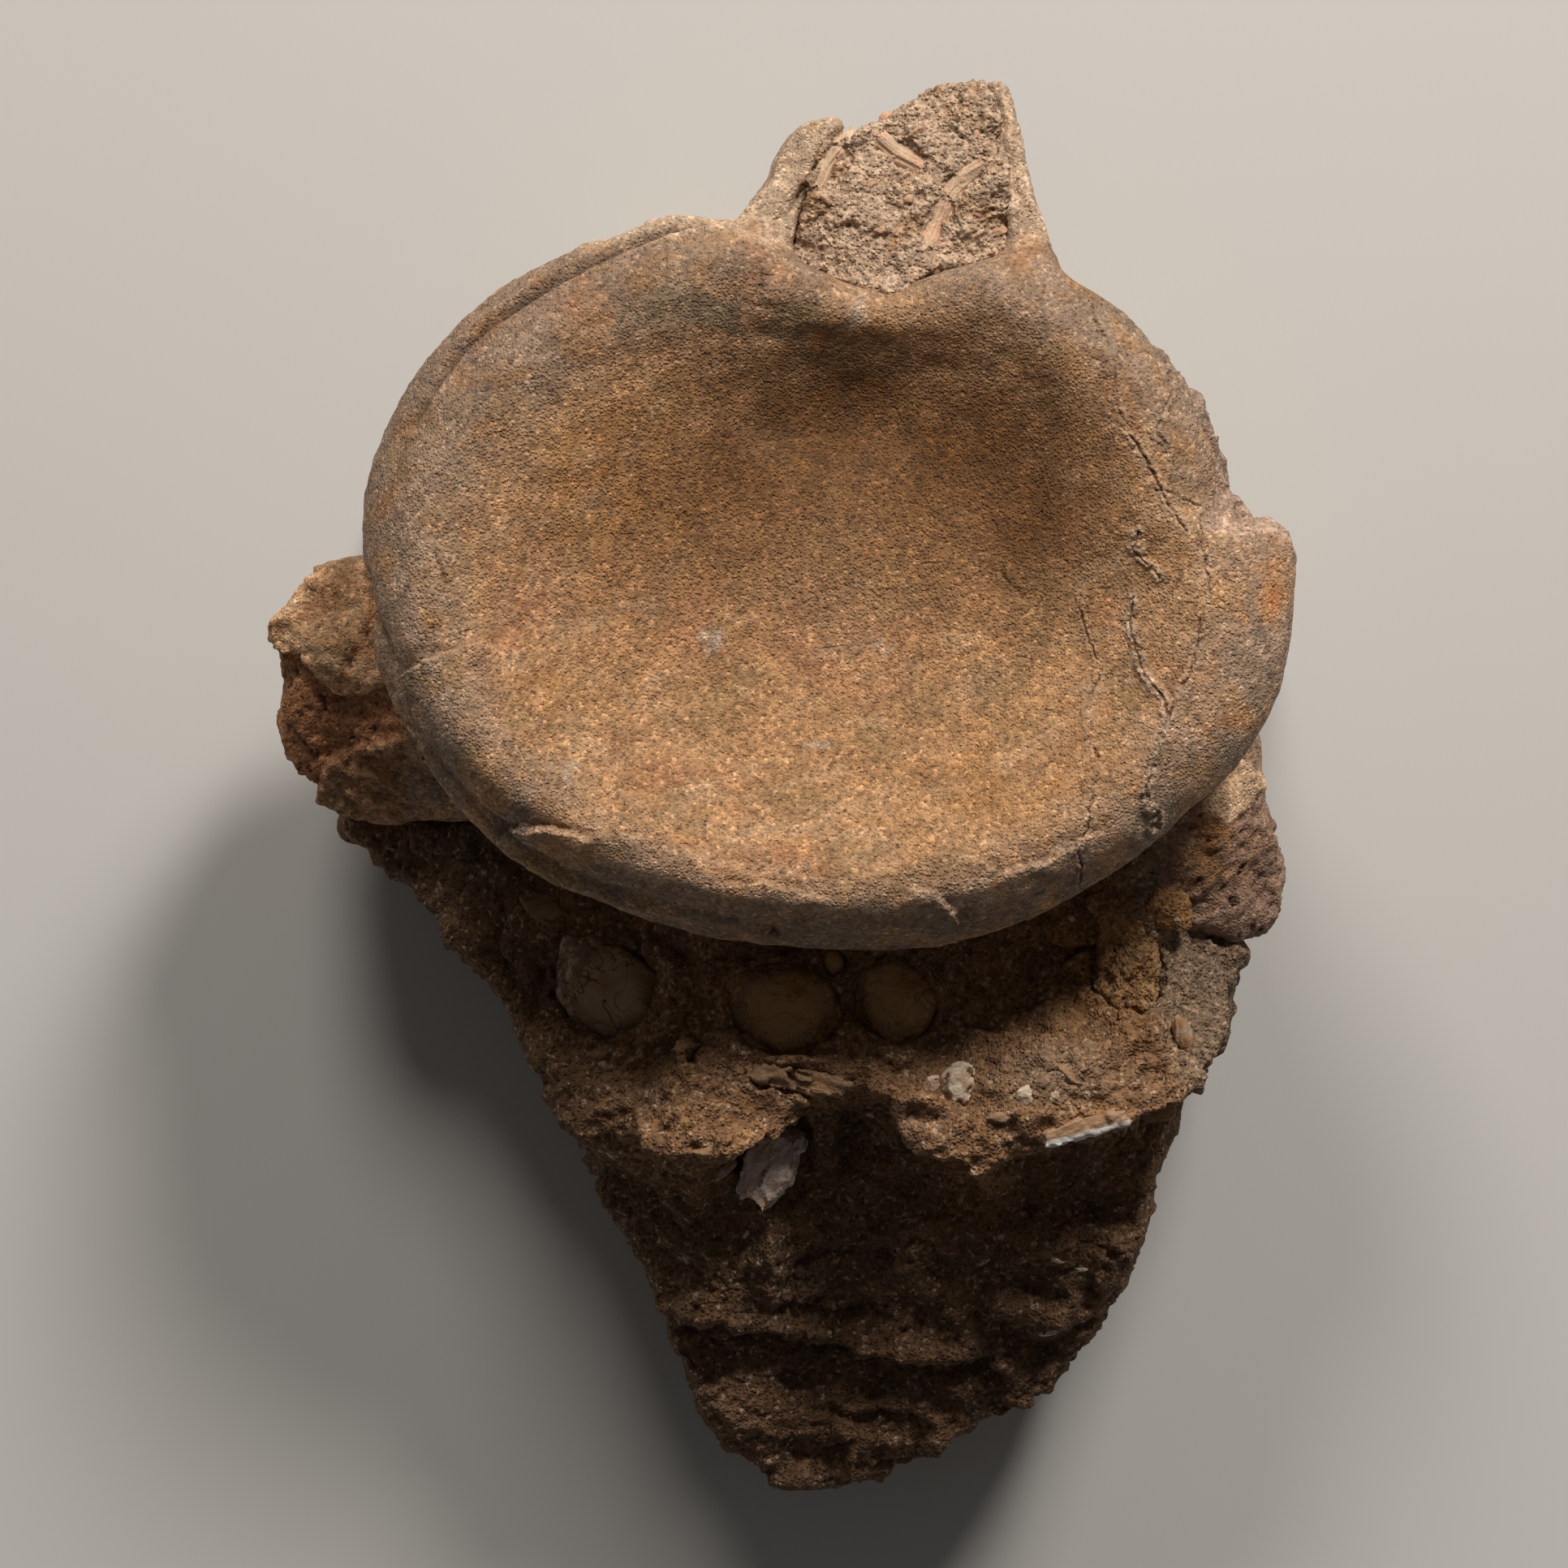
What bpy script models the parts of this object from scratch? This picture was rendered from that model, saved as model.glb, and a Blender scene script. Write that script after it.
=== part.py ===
"""A fossil plesiosaur vertebra that is still held by its block of sandy matrix.

The fossil lies on its back. The dished front joint face of the centrum looks up, +Z. The
broken neural arch points along +Y, and the matrix narrows to a tip along -Y. Every length
in this file is in millimetres, and is turned into metres where a mesh is made.
"""

import math

import bmesh
import bpy
from mathutils import Vector, noise
from mathutils.bvhtree import BVHTree

MM = 0.001
# Points closer than WELD are one point, and GAP is the room left between two pieces.
WELD = 0.01
GAP = 0.3
MOST_CORNER_SWELL = 2.0
SHARP_ANGLE = math.radians(40)
# The surface is first made in even cells, and then thinned to about so many triangles.
CELL = 0.9
VERTEBRA_TRIANGLES = 4300
MATRIX_TRIANGLES = 1540
CANAL_FILL_TRIANGLES = 360
# Samples from each point of an outline to the next.
SPAN_SAMPLES = 3

# The centrum, 96 wide: its length, the depth of its joint faces and the fall of its lip.
CENTRUM_LENGTH = 60.0
BOWL_DEPTH = 9.4
BOWL_POWER = 2.1
LIP_DROP = 4.0
CREST_ROUND = 0.8
NOTCH_X = 10.5
NOTCH_WIDTH = 9.0
NOTCH_DEPTH = 2.0
REAR_BOWL_DEPTH = 7.5
WAIST = 0.855

# The middle of the joint face's bowl, and the half axes of the oval that it fades to inside.
BOWL_CENTRE = Vector((5.3, 18.8))
BOWL_OVAL = (46.0, 35.0)
# The deepest part of the bowl is below the notch: its middle, half axes and depth.
HOLLOW_CENTRE = Vector((9.5, 39.5))
HOLLOW_OVAL = (13.0, 8.0)
HOLLOW_DEPTH = 2.6

# The edge of the joint face, clockwise from the peak beside the neural arch, and for each
# point the flank just behind it. The corner at (53.2, 26.4) is where a piece of lip is lost.
CENTRUM_EDGE = [
    ((-7.2, 58.4), (-8.3, 59.4)),
    ((-2.5, 57.2), (-2.5, 57.4)),
    ((4.0, 53.8), (4.0, 53.6)),
    ((10.5, 51.7), (10.5, 51.6)),
    ((17.5, 54.4), (17.5, 54.0)),
    ((24.0, 55.4), (24.0, 55.0)),
    ((30.2, 52.6), (30.9, 52.4)),
    ((37.0, 47.6), (38.7, 47.6)),
    ((42.4, 40.2), (44.4, 41.0)),
    ((44.8, 33.2), (46.8, 35.2)),
    ((44.6, 28.5), (47.8, 31.2)),
    ((48.0, 27.2), (50.2, 28.8)),
    ((53.2, 26.4), (52.4, 26.0)),
    ((53.6, 18.3), (53.2, 18.3)),
    ((52.3, 10.0), (51.8, 10.0)),
    ((48.4, 2.8), (47.8, 3.0)),
    ((42.4, -3.4), (41.9, -3.4)),
    ((35.4, -8.9), (35.0, -9.0)),
    ((27.0, -13.8), (26.8, -14.0)),
    ((17.8, -16.5), (17.8, -16.9)),
    ((7.2, -17.2), (7.4, -17.7)),
    ((-3.5, -16.0), (-3.2, -17.0)),
    ((-13.8, -13.2), (-13.8, -14.7)),
    ((-23.2, -9.2), (-23.8, -10.7)),
    ((-31.0, -3.4), (-32.2, -4.5)),
    ((-37.5, 4.6), (-38.8, 4.4)),
    ((-41.2, 12.6), (-42.6, 13.0)),
    ((-42.4, 21.8), (-44.5, 23.2)),
    ((-40.9, 31.2), (-43.9, 33.0)),
    ((-37.0, 39.7), (-39.9, 42.0)),
    ((-30.8, 47.1), (-33.2, 49.7)),
    ((-23.0, 52.8), (-24.8, 55.2)),
    ((-14.8, 56.2), (-16.2, 58.2)),
]
# Reach from the bowl's centre, as a share of the way to the edge.
FACE_REACHES = [0.0, 0.18, 0.36, 0.52, 0.65, 0.75, 0.82, 0.88, 0.93, 0.97, 1.0]
# Reach from the bowl's centre, and height as a share of the centrum's length.
FLANK_ROWS = [
    (1.0, 0.86),
    (0.97, 0.77),
    (0.89, 0.63),
    (WAIST, 0.47),
    (0.89, 0.30),
    (0.97, 0.15),
    (1.0, 0.075),
]
REAR_CREST = 0.9
REAR_REACHES = [0.96, REAR_CREST, 0.80, 0.60, 0.30, 0.0]
REAR_EDGE_HEIGHT = 1.2
RIB_FLOOR = 14.0
ARCH_FLOOR = 15.0

LEFT_RIB_OUTLINE = [
    (-30.0, 22.0),
    (-45.3, 24.2),
    (-50.0, 22.9),
    (-53.0, 19.8),
    (-55.6, 16.2),
    (-54.4, 12.0),
    (-54.9, 8.0),
    (-54.0, 3.4),
    (-51.0, -0.2),
    (-46.5, -2.5),
    (-39.0, -4.0),
    (-29.0, -1.0),
]
RIGHT_RIB_OUTLINE = [
    (36.0, 6.0),
    (47.0, 8.0),
    (50.8, 5.2),
    (51.6, -1.0),
    (53.2, -6.0),
    (53.9, -10.2),
    (52.4, -15.0),
    (48.0, -17.0),
    (41.0, -14.5),
    (34.0, -9.0),
]
LEFT_LAMINA_OUTLINE = [
    (-5.6, 58.5),
    (-3.1, 61.8),
    (-1.4, 65.2),
    (0.8, 68.2),
    (2.9, 70.2),
    (5.6, 70.5),
    (7.2, 69.4),
    (5.4, 66.4),
    (3.4, 63.2),
    (1.6, 59.6),
    (0.6, 54.0),
    (-1.0, 46.0),
    (-7.0, 46.0),
    (-6.6, 53.0),
]
RIGHT_LAMINA_OUTLINE = [
    (21.0, 73.9),
    (22.8, 74.7),
    (24.0, 72.1),
    (25.1, 67.0),
    (26.2, 61.8),
    (28.2, 56.0),
    (29.0, 50.0),
    (28.0, 45.0),
    (23.0, 45.0),
    (23.2, 52.0),
    (23.0, 58.0),
    (22.4, 64.0),
    (21.6, 69.5),
]
CANAL_FILL_OUTLINE = [
    (0.5, 60.5),
    (2.8, 64.5),
    (5.2, 68.2),
    (9.3, 69.4),
    (12.0, 71.0),
    (15.0, 72.9),
    (19.0, 74.1),
    (21.8, 73.6),
    (23.2, 68.0),
    (24.2, 61.0),
    (25.0, 54.0),
    (22.0, 47.0),
    (10.0, 46.0),
    (1.0, 47.0),
    (-0.8, 54.0),
]
MATRIX_OUTLINE = [
    (-47.5, -2.5),
    (-47.6, -5.6),
    (-43.9, -9.0),
    (-38.7, -13.8),
    (-33.0, -21.0),
    (-27.8, -28.6),
    (-23.5, -37.0),
    (-19.5, -44.5),
    (-15.7, -51.1),
    (-12.9, -58.2),
    (-10.0, -66.2),
    (-6.8, -72.6),
    (-0.9, -76.6),
    (4.8, -78.2),
    (10.9, -76.1),
    (16.0, -74.0),
    (19.8, -70.9),
    (24.7, -68.9),
    (28.9, -66.0),
    (33.3, -60.1),
    (36.9, -55.1),
    (38.4, -50.6),
    (38.9, -45.4),
    (41.5, -39.9),
    (43.2, -34.3),
    (47.0, -28.0),
    (48.9, -22.7),
    (49.4, -17.6),
    (47.0, -9.0),
    (34.0, -4.0),
    (10.0, -5.0),
    (-15.0, -2.0),
    (-36.0, 4.0),
]
MATRIX_CENTRE = Vector((8.0, -30.0))

# The broken step across the matrix: a shelf faces the light above it and a hollow lies below.
SHELF_EDGE = [
    (-30.0, -33.0),
    (-22.0, -38.0),
    (-10.0, -41.0),
    (-4.5, -40.0),
    (1.6, -36.4),
    (11.6, -36.2),
    (15.0, -39.8),
    (20.0, -42.4),
    (28.0, -38.8),
    (36.0, -36.8),
    (44.0, -33.5),
]
BACK_OF_MATRIX = -0.2
SHELF_HEIGHT = 46.0
FOOT_HEIGHT = 40.0
SHELF_FOOT_Y = -18.0
SHELF_STEP = 10.0
SHELF_STEP_RUN = 3.0
TIP_SLOPE = 0.46
# The middle, radius and depth of each pit: below the shelf, and beside the ochre fragment.
MATRIX_PITS = [((6.8, -40.0), 6.0, 4.5), ((30.0, -20.0), 6.5, 5.0)]
LEFT_SLOPE_FROM = -6.0
LEFT_SLOPE = 0.46
RIGHT_SLOPE_FROM = 38.0
RIGHT_SLOPE = 0.55
# Worn bedding runs across the matrix below the shelf.
BED_SPACING = 9.0
BED_RELIEF = 1.1


def smooth(t):
    """Eases from 0 to 1 as t goes from 0 to 1."""
    t = min(1.0, max(0.0, t))
    return t * t * (3.0 - 2.0 * t)


def mix(a, b, t):
    return a + (b - a) * t


def closed_curve(points):
    """A smooth closed curve through the points."""
    points = [Vector(p) for p in points]
    count = len(points)
    curve = []
    for i in range(count):
        before, here, there, after = (points[(i + k) % count] for k in (-1, 0, 1, 2))
        for step in range(SPAN_SAMPLES):
            t = step / SPAN_SAMPLES
            bend = 2 * before - 5 * here + 4 * there - after
            swing = 3 * here - before - 3 * there + after
            curve.append(here + 0.5 * ((there - before) * t + bend * t**2 + swing * t**3))
    return curve


def height_along(line, x):
    """The y of a line of points, read at x."""
    for (x0, y0), (x1, y1) in zip(line, line[1:]):
        if x <= x1:
            return mix(y0, y1, smooth((x - x0) / (x1 - x0)))
    return line[-1][1]


def stone(name, color, roughness):
    """The matte material of a piece."""
    material = bpy.data.materials.new(name)
    material.use_nodes = True
    shader = material.node_tree.nodes["Principled BSDF"]
    shader.inputs["Base Color"].default_value = (*color, 1.0)
    shader.inputs["Roughness"].default_value = roughness
    shader.inputs["Metallic"].default_value = 0.0
    material.diffuse_color = (*color, 1.0)
    return material


def finished(name, bm, material):
    """Turns the bmesh into an object of that name, with its faces looking out."""
    bmesh.ops.recalc_face_normals(bm, faces=bm.faces)
    if bm.calc_volume(signed=True) < 0.0:
        bmesh.ops.reverse_faces(bm, faces=bm.faces)
    mesh = bpy.data.meshes.new(name)
    bm.to_mesh(mesh)
    bm.free()
    mesh.materials.append(material)
    mesh.shade_smooth()
    mesh.set_sharp_from_angle(angle=SHARP_ANGLE)
    made = bpy.data.objects.new(name, mesh)
    bpy.context.scene.collection.objects.link(made)
    return made


def evaluated(piece):
    """Gives the piece the mesh that its modifiers make."""
    shapes = bpy.context.evaluated_depsgraph_get()
    mesh = bpy.data.meshes.new_from_object(piece.evaluated_get(shapes))
    piece.modifiers.clear()
    old = piece.data
    piece.data = mesh
    bpy.data.meshes.remove(old)
    mesh.name = piece.name
    return piece


def grown_together(name, shells, material):
    """One body from overlapping closed shells, its surface in even cells."""
    whole = bmesh.new()
    for shell in shells:
        bmesh.ops.recalc_face_normals(shell, faces=shell.faces)
        mesh = bpy.data.meshes.new("shell")
        shell.to_mesh(mesh)
        shell.free()
        whole.from_mesh(mesh)
        bpy.data.meshes.remove(mesh)
    piece = finished(name, whole, material)
    cells = piece.modifiers.new("cells", "REMESH")
    cells.mode = "VOXEL"
    cells.voxel_size = CELL * MM
    return evaluated(piece)


def lumps(place, grain, seed):
    """Rough relief between about -1 and 1, in lumps of about the size of grain."""
    return noise.fractal(place / grain + Vector((seed, 2.7 * seed, 1.3 * seed)), 0.9, 2.1, 3)


def weathered(piece, relief):
    """Moves each point of the surface out by relief(place), in millimetres."""
    verts = piece.data.vertices
    shifts = [vert.normal * relief(vert.co / MM) * MM for vert in verts]
    for vert, shift in zip(verts, shifts):
        vert.co += shift
    return piece


def thinned(piece, triangles):
    """Leaves about that many triangles, the fewest where the surface is flattest."""
    now = sum(len(face.vertices) - 2 for face in piece.data.polygons)
    thin = piece.modifiers.new("thin", "DECIMATE")
    thin.ratio = triangles / now
    return evaluated(piece)


def wrapped(turns, rows, place):
    """A closed bmesh from a sheet wrapped round: place(turn, row) gives each of its points."""
    bm = bmesh.new()
    bmesh.ops.create_grid(bm, x_segments=turns, y_segments=rows, size=0.5)
    for vert in bm.verts:
        turn = round((vert.co.x + 0.5) * turns) % turns
        row = round((vert.co.y + 0.5) * rows)
        vert.co = Vector(place(turn, row)) * MM
    bmesh.ops.remove_doubles(bm, verts=bm.verts, dist=WELD * MM)
    return bm


def block(outline, centre, top, bottom, walls, top_reaches):
    """A closed bmesh with a shaped top inside the outline, walls and a flat bottom.

    top(x, y) is the height of the top, and walls lists the reach of the outline and the
    share of the way down to the bottom.
    """
    edge = closed_curve(outline)
    last_reach = walls[-1][0]
    rows = [(reach, 0.0) for reach in top_reaches] + walls
    rows += [(last_reach * 0.5, 1.0), (0.0, 1.0)]

    def place(turn, row):
        reach, down = rows[row]
        x, y = centre + (edge[turn] - centre) * reach
        if down == 0.0:
            return x, y, top(x, y)
        return x, y, mix(top(*edge[turn]), bottom, down)

    return wrapped(len(edge), len(rows) - 1, place)


def fade(x, y, centre, half_axes):
    """1 at the centre of an oval, falling to nothing well outside of it."""
    return math.exp(-(((x - centre.x) / half_axes[0]) ** 2) - ((y - centre.y) / half_axes[1]) ** 2)


def face_height(reach, angle, x, y):
    """The joint face: a bowl, a rolled lip round it, and a hollow below the canal notch."""
    right, up, down = (max(0.0, s) for s in (math.cos(angle), math.sin(angle), -math.sin(angle)))
    crest = 0.89 - 0.08 * right**3 - 0.08 * down**2
    drop = LIP_DROP * (1.0 + 0.9 * down**2)
    lean = 1.2 * up + 1.5 * right**2
    notch = math.exp(-(((x - NOTCH_X) / NOTCH_WIDTH) ** 2)) * smooth((y - 36.0) / 16.0)
    rim = CENTRUM_LENGTH - lean * reach**2 - NOTCH_DEPTH * notch
    inside = BOWL_DEPTH * ((reach / crest) ** BOWL_POWER - 1.0)
    outside = -drop * (max(0.0, reach - crest) / (1.0 - crest)) ** 2
    rounded = sum(math.exp(-height / CREST_ROUND) for height in (inside, outside))
    hollow = HOLLOW_DEPTH * fade(x, y, HOLLOW_CENTRE, HOLLOW_OVAL)
    return rim - CREST_ROUND * math.log(rounded) - hollow


def centrum_rows():
    """Each row round the centrum, from the bowl to the rear: its kind, reach and height."""
    rows = [("face", reach, None) for reach in FACE_REACHES]
    rows += [("flank", reach, share * CENTRUM_LENGTH) for reach, share in FLANK_ROWS]
    for reach in REAR_REACHES:
        height = REAR_EDGE_HEIGHT
        if reach <= REAR_CREST:
            height = REAR_BOWL_DEPTH * (1.0 - (reach / REAR_CREST) ** 2)
        rows.append(("flank", reach, height))
    return rows


def make_centrum():
    face_edge = closed_curve([face for face, _ in CENTRUM_EDGE])
    flank_edge = closed_curve([flank for _, flank in CENTRUM_EDGE])
    rows = centrum_rows()

    def place(turn, row):
        kind, reach, height = rows[row]
        edge = face_edge[turn] if kind == "face" else flank_edge[turn]
        spoke = edge - BOWL_CENTRE
        angle = math.atan2(spoke.y, spoke.x)
        wide, tall = BOWL_OVAL
        oval = wide * tall / math.hypot(tall * math.cos(angle), wide * math.sin(angle))
        length = mix(oval, spoke.length, reach**2) * reach
        x, y = BOWL_CENTRE + spoke.normalized() * length
        if kind == "face":
            height = face_height(reach, angle, x, y)
        return x, y, height

    return wrapped(len(face_edge), len(rows) - 1, place)


def matrix_height(x, y):
    """The broken upper side of the matrix."""
    shelf_y = height_along(SHELF_EDGE, x)
    rise = smooth((SHELF_FOOT_Y - y) / (SHELF_FOOT_Y - shelf_y))
    above = mix(FOOT_HEIGHT, SHELF_HEIGHT, rise)
    below = SHELF_HEIGHT - SHELF_STEP - TIP_SLOPE * max(0.0, shelf_y - y)
    below += BED_RELIEF * math.sin((y + 0.22 * x) * math.tau / BED_SPACING)
    height = mix(above, below, smooth((shelf_y - y) / SHELF_STEP_RUN + 0.3))
    for (pit_x, pit_y), radius, depth in MATRIX_PITS:
        off = math.hypot(x - pit_x, y - pit_y) / radius
        height -= depth * math.exp(-(off**2))
    height -= LEFT_SLOPE * max(0.0, LEFT_SLOPE_FROM - x) * smooth((LEFT_SLOPE_FROM - x) / 8.0)
    return height - RIGHT_SLOPE * max(0.0, x - RIGHT_SLOPE_FROM)


def left_rib_height(x, y):
    """Smooth bone above, a broken spongy face a step lower along the left and the foot."""
    smooth_bone = 41.0 + 0.32 * (x + 42.0) - 0.02 * (y - 16.0) ** 2
    broken = smooth((0.75 * (-44.0 - x) + (9.5 - y)) / 3.0)
    return smooth_bone - 2.4 * broken - 0.25 * max(0.0, 6.0 - y)


def right_rib_height(x, y):
    return 42.0 - 0.35 * max(0.0, -y) - 0.45 * max(0.0, x - 46.0)


def arch_height(x, y):
    """The broken front of the neural arch leans back towards its top."""
    return 52.5 - 0.26 * (y - 54.0) + 0.05 * (x - 12.0)


def canal_fill_height(x, y):
    return arch_height(x, y) + 1.0 - 0.035 * (x - 12.0) ** 2 * smooth((62.0 - y) / 8.0)


def stump(outline, centre, top, bottom):
    """A closed bmesh of a broken stump of bone."""
    walls = [(1.0, 0.3), (0.96, 0.6), (0.86, 0.84), (0.66, 0.96)]
    return block(outline, Vector(centre), top, bottom, walls, [0.0, 0.3, 0.6, 0.85, 1.0])


def pebble(name, at, half_sizes, turn_deg, seed, material):
    """A smooth lump set in the rock, flat or round as its three half sizes say."""
    bm = bmesh.new()
    bmesh.ops.create_icosphere(bm, subdivisions=2, radius=1.0)
    turn = math.radians(turn_deg)
    for vert in bm.verts:
        lump = 1.0 + 0.16 * noise.noise(vert.co * 1.6 + Vector((seed, seed, seed)))
        x, y, z = (vert.co[k] * half_sizes[k] * lump for k in range(3))
        x, y = x * math.cos(turn) - y * math.sin(turn), x * math.sin(turn) + y * math.cos(turn)
        vert.co = (Vector((x, y, z)) + Vector(at)) * MM
    return finished(name, bm, material)


def splinter(name, start, end, width, thickness, seed, material):
    """A thin broken sliver from start to end, wider in the middle, with ragged ends."""
    start, end = Vector(start), Vector(end)
    along = end - start
    side = along.cross(Vector((0.0, 0.0, 1.0))).normalized()
    up = side.cross(along).normalized()
    bm = bmesh.new()
    bmesh.ops.create_cube(bm, size=1.0)
    bmesh.ops.subdivide_edges(bm, edges=bm.edges, cuts=1, use_grid_fill=True)
    for vert in bm.verts:
        x, y, z = vert.co
        jag = 0.16 * noise.noise(vert.co * 3.0 + Vector((seed, 0.0, seed)))
        taper = 1.0 - 0.35 * (2.0 * x) ** 2
        place = mix(start, end, 0.5 + x + jag) + side * (y * width * taper)
        vert.co = (place + up * (z * thickness * (1.0 + jag))) * MM
    return finished(name, bm, material)


def swollen(piece):
    """A copy of the piece, larger by the gap all round, to cut its neighbours with."""
    bm = bmesh.new()
    bm.from_mesh(piece.data)
    bm.normal_update()
    factors = [min(MOST_CORNER_SWELL, vert.calc_shell_factor()) for vert in bm.verts]
    moved = [vert.co + vert.normal * GAP * MM * swell for vert, swell in zip(bm.verts, factors)]
    for vert, place in zip(bm.verts, moved):
        vert.co = place
    return finished(piece.name + "_swollen", bm, piece.data.materials[0])


def without(piece, others):
    """Cuts the others, each with the gap round it, out of the piece."""
    cutters = [swollen(other) for other in others]
    for cutter in cutters:
        cut = piece.modifiers.new(cutter.name, "BOOLEAN")
        cut.operation = "DIFFERENCE"
        cut.solver = "EXACT"
        cut.use_self = True
        cut.object = cutter
    evaluated(piece)
    for cutter in cutters:
        bpy.data.objects.remove(cutter)
    drop_crumbs(piece.data)
    return piece


def drop_crumbs(mesh):
    """Keeps the largest of the separate shells that a cut leaves."""
    bm = bmesh.new()
    bm.from_mesh(mesh)
    left, shells = set(bm.faces), []
    while left:
        shell, front = set(), [left.pop()]
        while front:
            face = front.pop()
            shell.add(face)
            edges = [edge for edge in face.edges if len(edge.link_faces) == 2]
            near = {other for edge in edges for other in edge.link_faces} & left
            left -= near
            front.extend(near)
        shells.append(shell)
    largest = max(shells, key=len)
    crumbs = [face for shell in shells if shell is not largest for face in shell]
    bmesh.ops.delete(bm, geom=crumbs, context="FACES")
    bm.to_mesh(mesh)
    bm.free()
    mesh.shade_smooth()
    mesh.set_sharp_from_angle(angle=SHARP_ANGLE)


def bone_relief(place):
    """Broken bone is rough, and the joint face and the lip are nearly smooth."""
    ribs = smooth((-41.5 - place.x) / 3.0) * smooth((26.0 - place.y) / 3.0)
    ribs = max(ribs, smooth((place.x - 40.0) / 4.0) * smooth((2.0 - place.y) / 4.0))
    arch = smooth((place.y - 55.0) / 3.0) * smooth((56.0 - place.z) / 2.0)
    lost_lip = smooth((place.x - 44.5) / 2.0) * smooth((place.y - 27.0) / 2.0)
    broken = max(ribs, arch, lost_lip)
    return 0.28 * lumps(place, 14.0, 2.2) + 0.75 * broken * lumps(place, 5.5, 5.1)


def make_vertebra(bone):
    """The centrum with the stumps of its ribs and of the arch, grown together."""
    shells = [
        make_centrum(),
        stump(LEFT_RIB_OUTLINE, (-41.0, 11.0), left_rib_height, RIB_FLOOR),
        stump(RIGHT_RIB_OUTLINE, (44.0, -3.0), right_rib_height, RIB_FLOOR),
        stump(LEFT_LAMINA_OUTLINE, (0.2, 59.0), arch_height, ARCH_FLOOR),
        stump(RIGHT_LAMINA_OUTLINE, (24.6, 60.0), arch_height, ARCH_FLOOR),
    ]
    vertebra = weathered(grown_together("vertebra", shells, bone), bone_relief)
    return thinned(vertebra, VERTEBRA_TRIANGLES)


def make_canal_fill(rock):
    """The sand that fills the canal of the arch, before its neighbours are cut out of it."""
    walls = [(1.0, 0.3), (1.0, 0.65), (0.97, 1.0)]
    reaches = [0.0, 0.25, 0.5, 0.75, 1.0]
    centre, floor = Vector((12.5, 60.0)), ARCH_FLOOR + 1.0
    shell = block(CANAL_FILL_OUTLINE, centre, canal_fill_height, floor, walls, reaches)
    fill = grown_together("canal_fill", [shell], rock)
    weathered(fill, lambda place: 0.5 * lumps(place, 3.5, 1.9))
    return thinned(fill, CANAL_FILL_TRIANGLES)


def make_matrix(rock):
    """The block of rock, before its neighbours are cut out of it."""
    walls = [(0.99, 0.3), (0.95, 0.6), (0.87, 0.82), (0.74, 1.0)]
    reaches = [0.0, 0.16, 0.32, 0.46, 0.58, 0.68, 0.77, 0.85, 0.93, 1.0]
    below = BACK_OF_MATRIX - 3.0
    shell = block(MATRIX_OUTLINE, MATRIX_CENTRE, matrix_height, below, walls, reaches)
    matrix = grown_together("matrix", [shell], rock)
    weathered(matrix, lambda place: 0.9 * lumps(place, 9.0, 4.4))
    thinned(matrix, MATRIX_TRIANGLES)
    flatten_back(matrix)
    return matrix


def flatten_back(matrix):
    """Cuts the matrix off flat where it lies on its back."""
    bm = bmesh.new()
    bm.from_mesh(matrix.data)
    everything = [*bm.verts, *bm.edges, *bm.faces]
    back = Vector((0.0, 0.0, BACK_OF_MATRIX * MM))
    cut = bmesh.ops.bisect_plane(
        bm, geom=everything, plane_co=back, plane_no=(0.0, 0.0, 1.0), clear_inner=True
    )
    edges = [part for part in cut["geom_cut"] if isinstance(part, bmesh.types.BMEdge)]
    bmesh.ops.contextual_create(bm, geom=edges)
    bm.to_mesh(matrix.data)
    bm.free()


def upper_side(piece):
    """A function that gives the point of the piece's upper side at x and y, plus a lift."""
    mesh = piece.data
    places = [vert.co / MM for vert in mesh.vertices]
    tree = BVHTree.FromPolygons(places, [face.vertices[:] for face in mesh.polygons])

    def point(x, y, lift):
        hit = tree.ray_cast(Vector((x, y, 100.0)), Vector((0.0, 0.0, -1.0)))[0]
        return x, y, hit.z + lift

    return point


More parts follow.
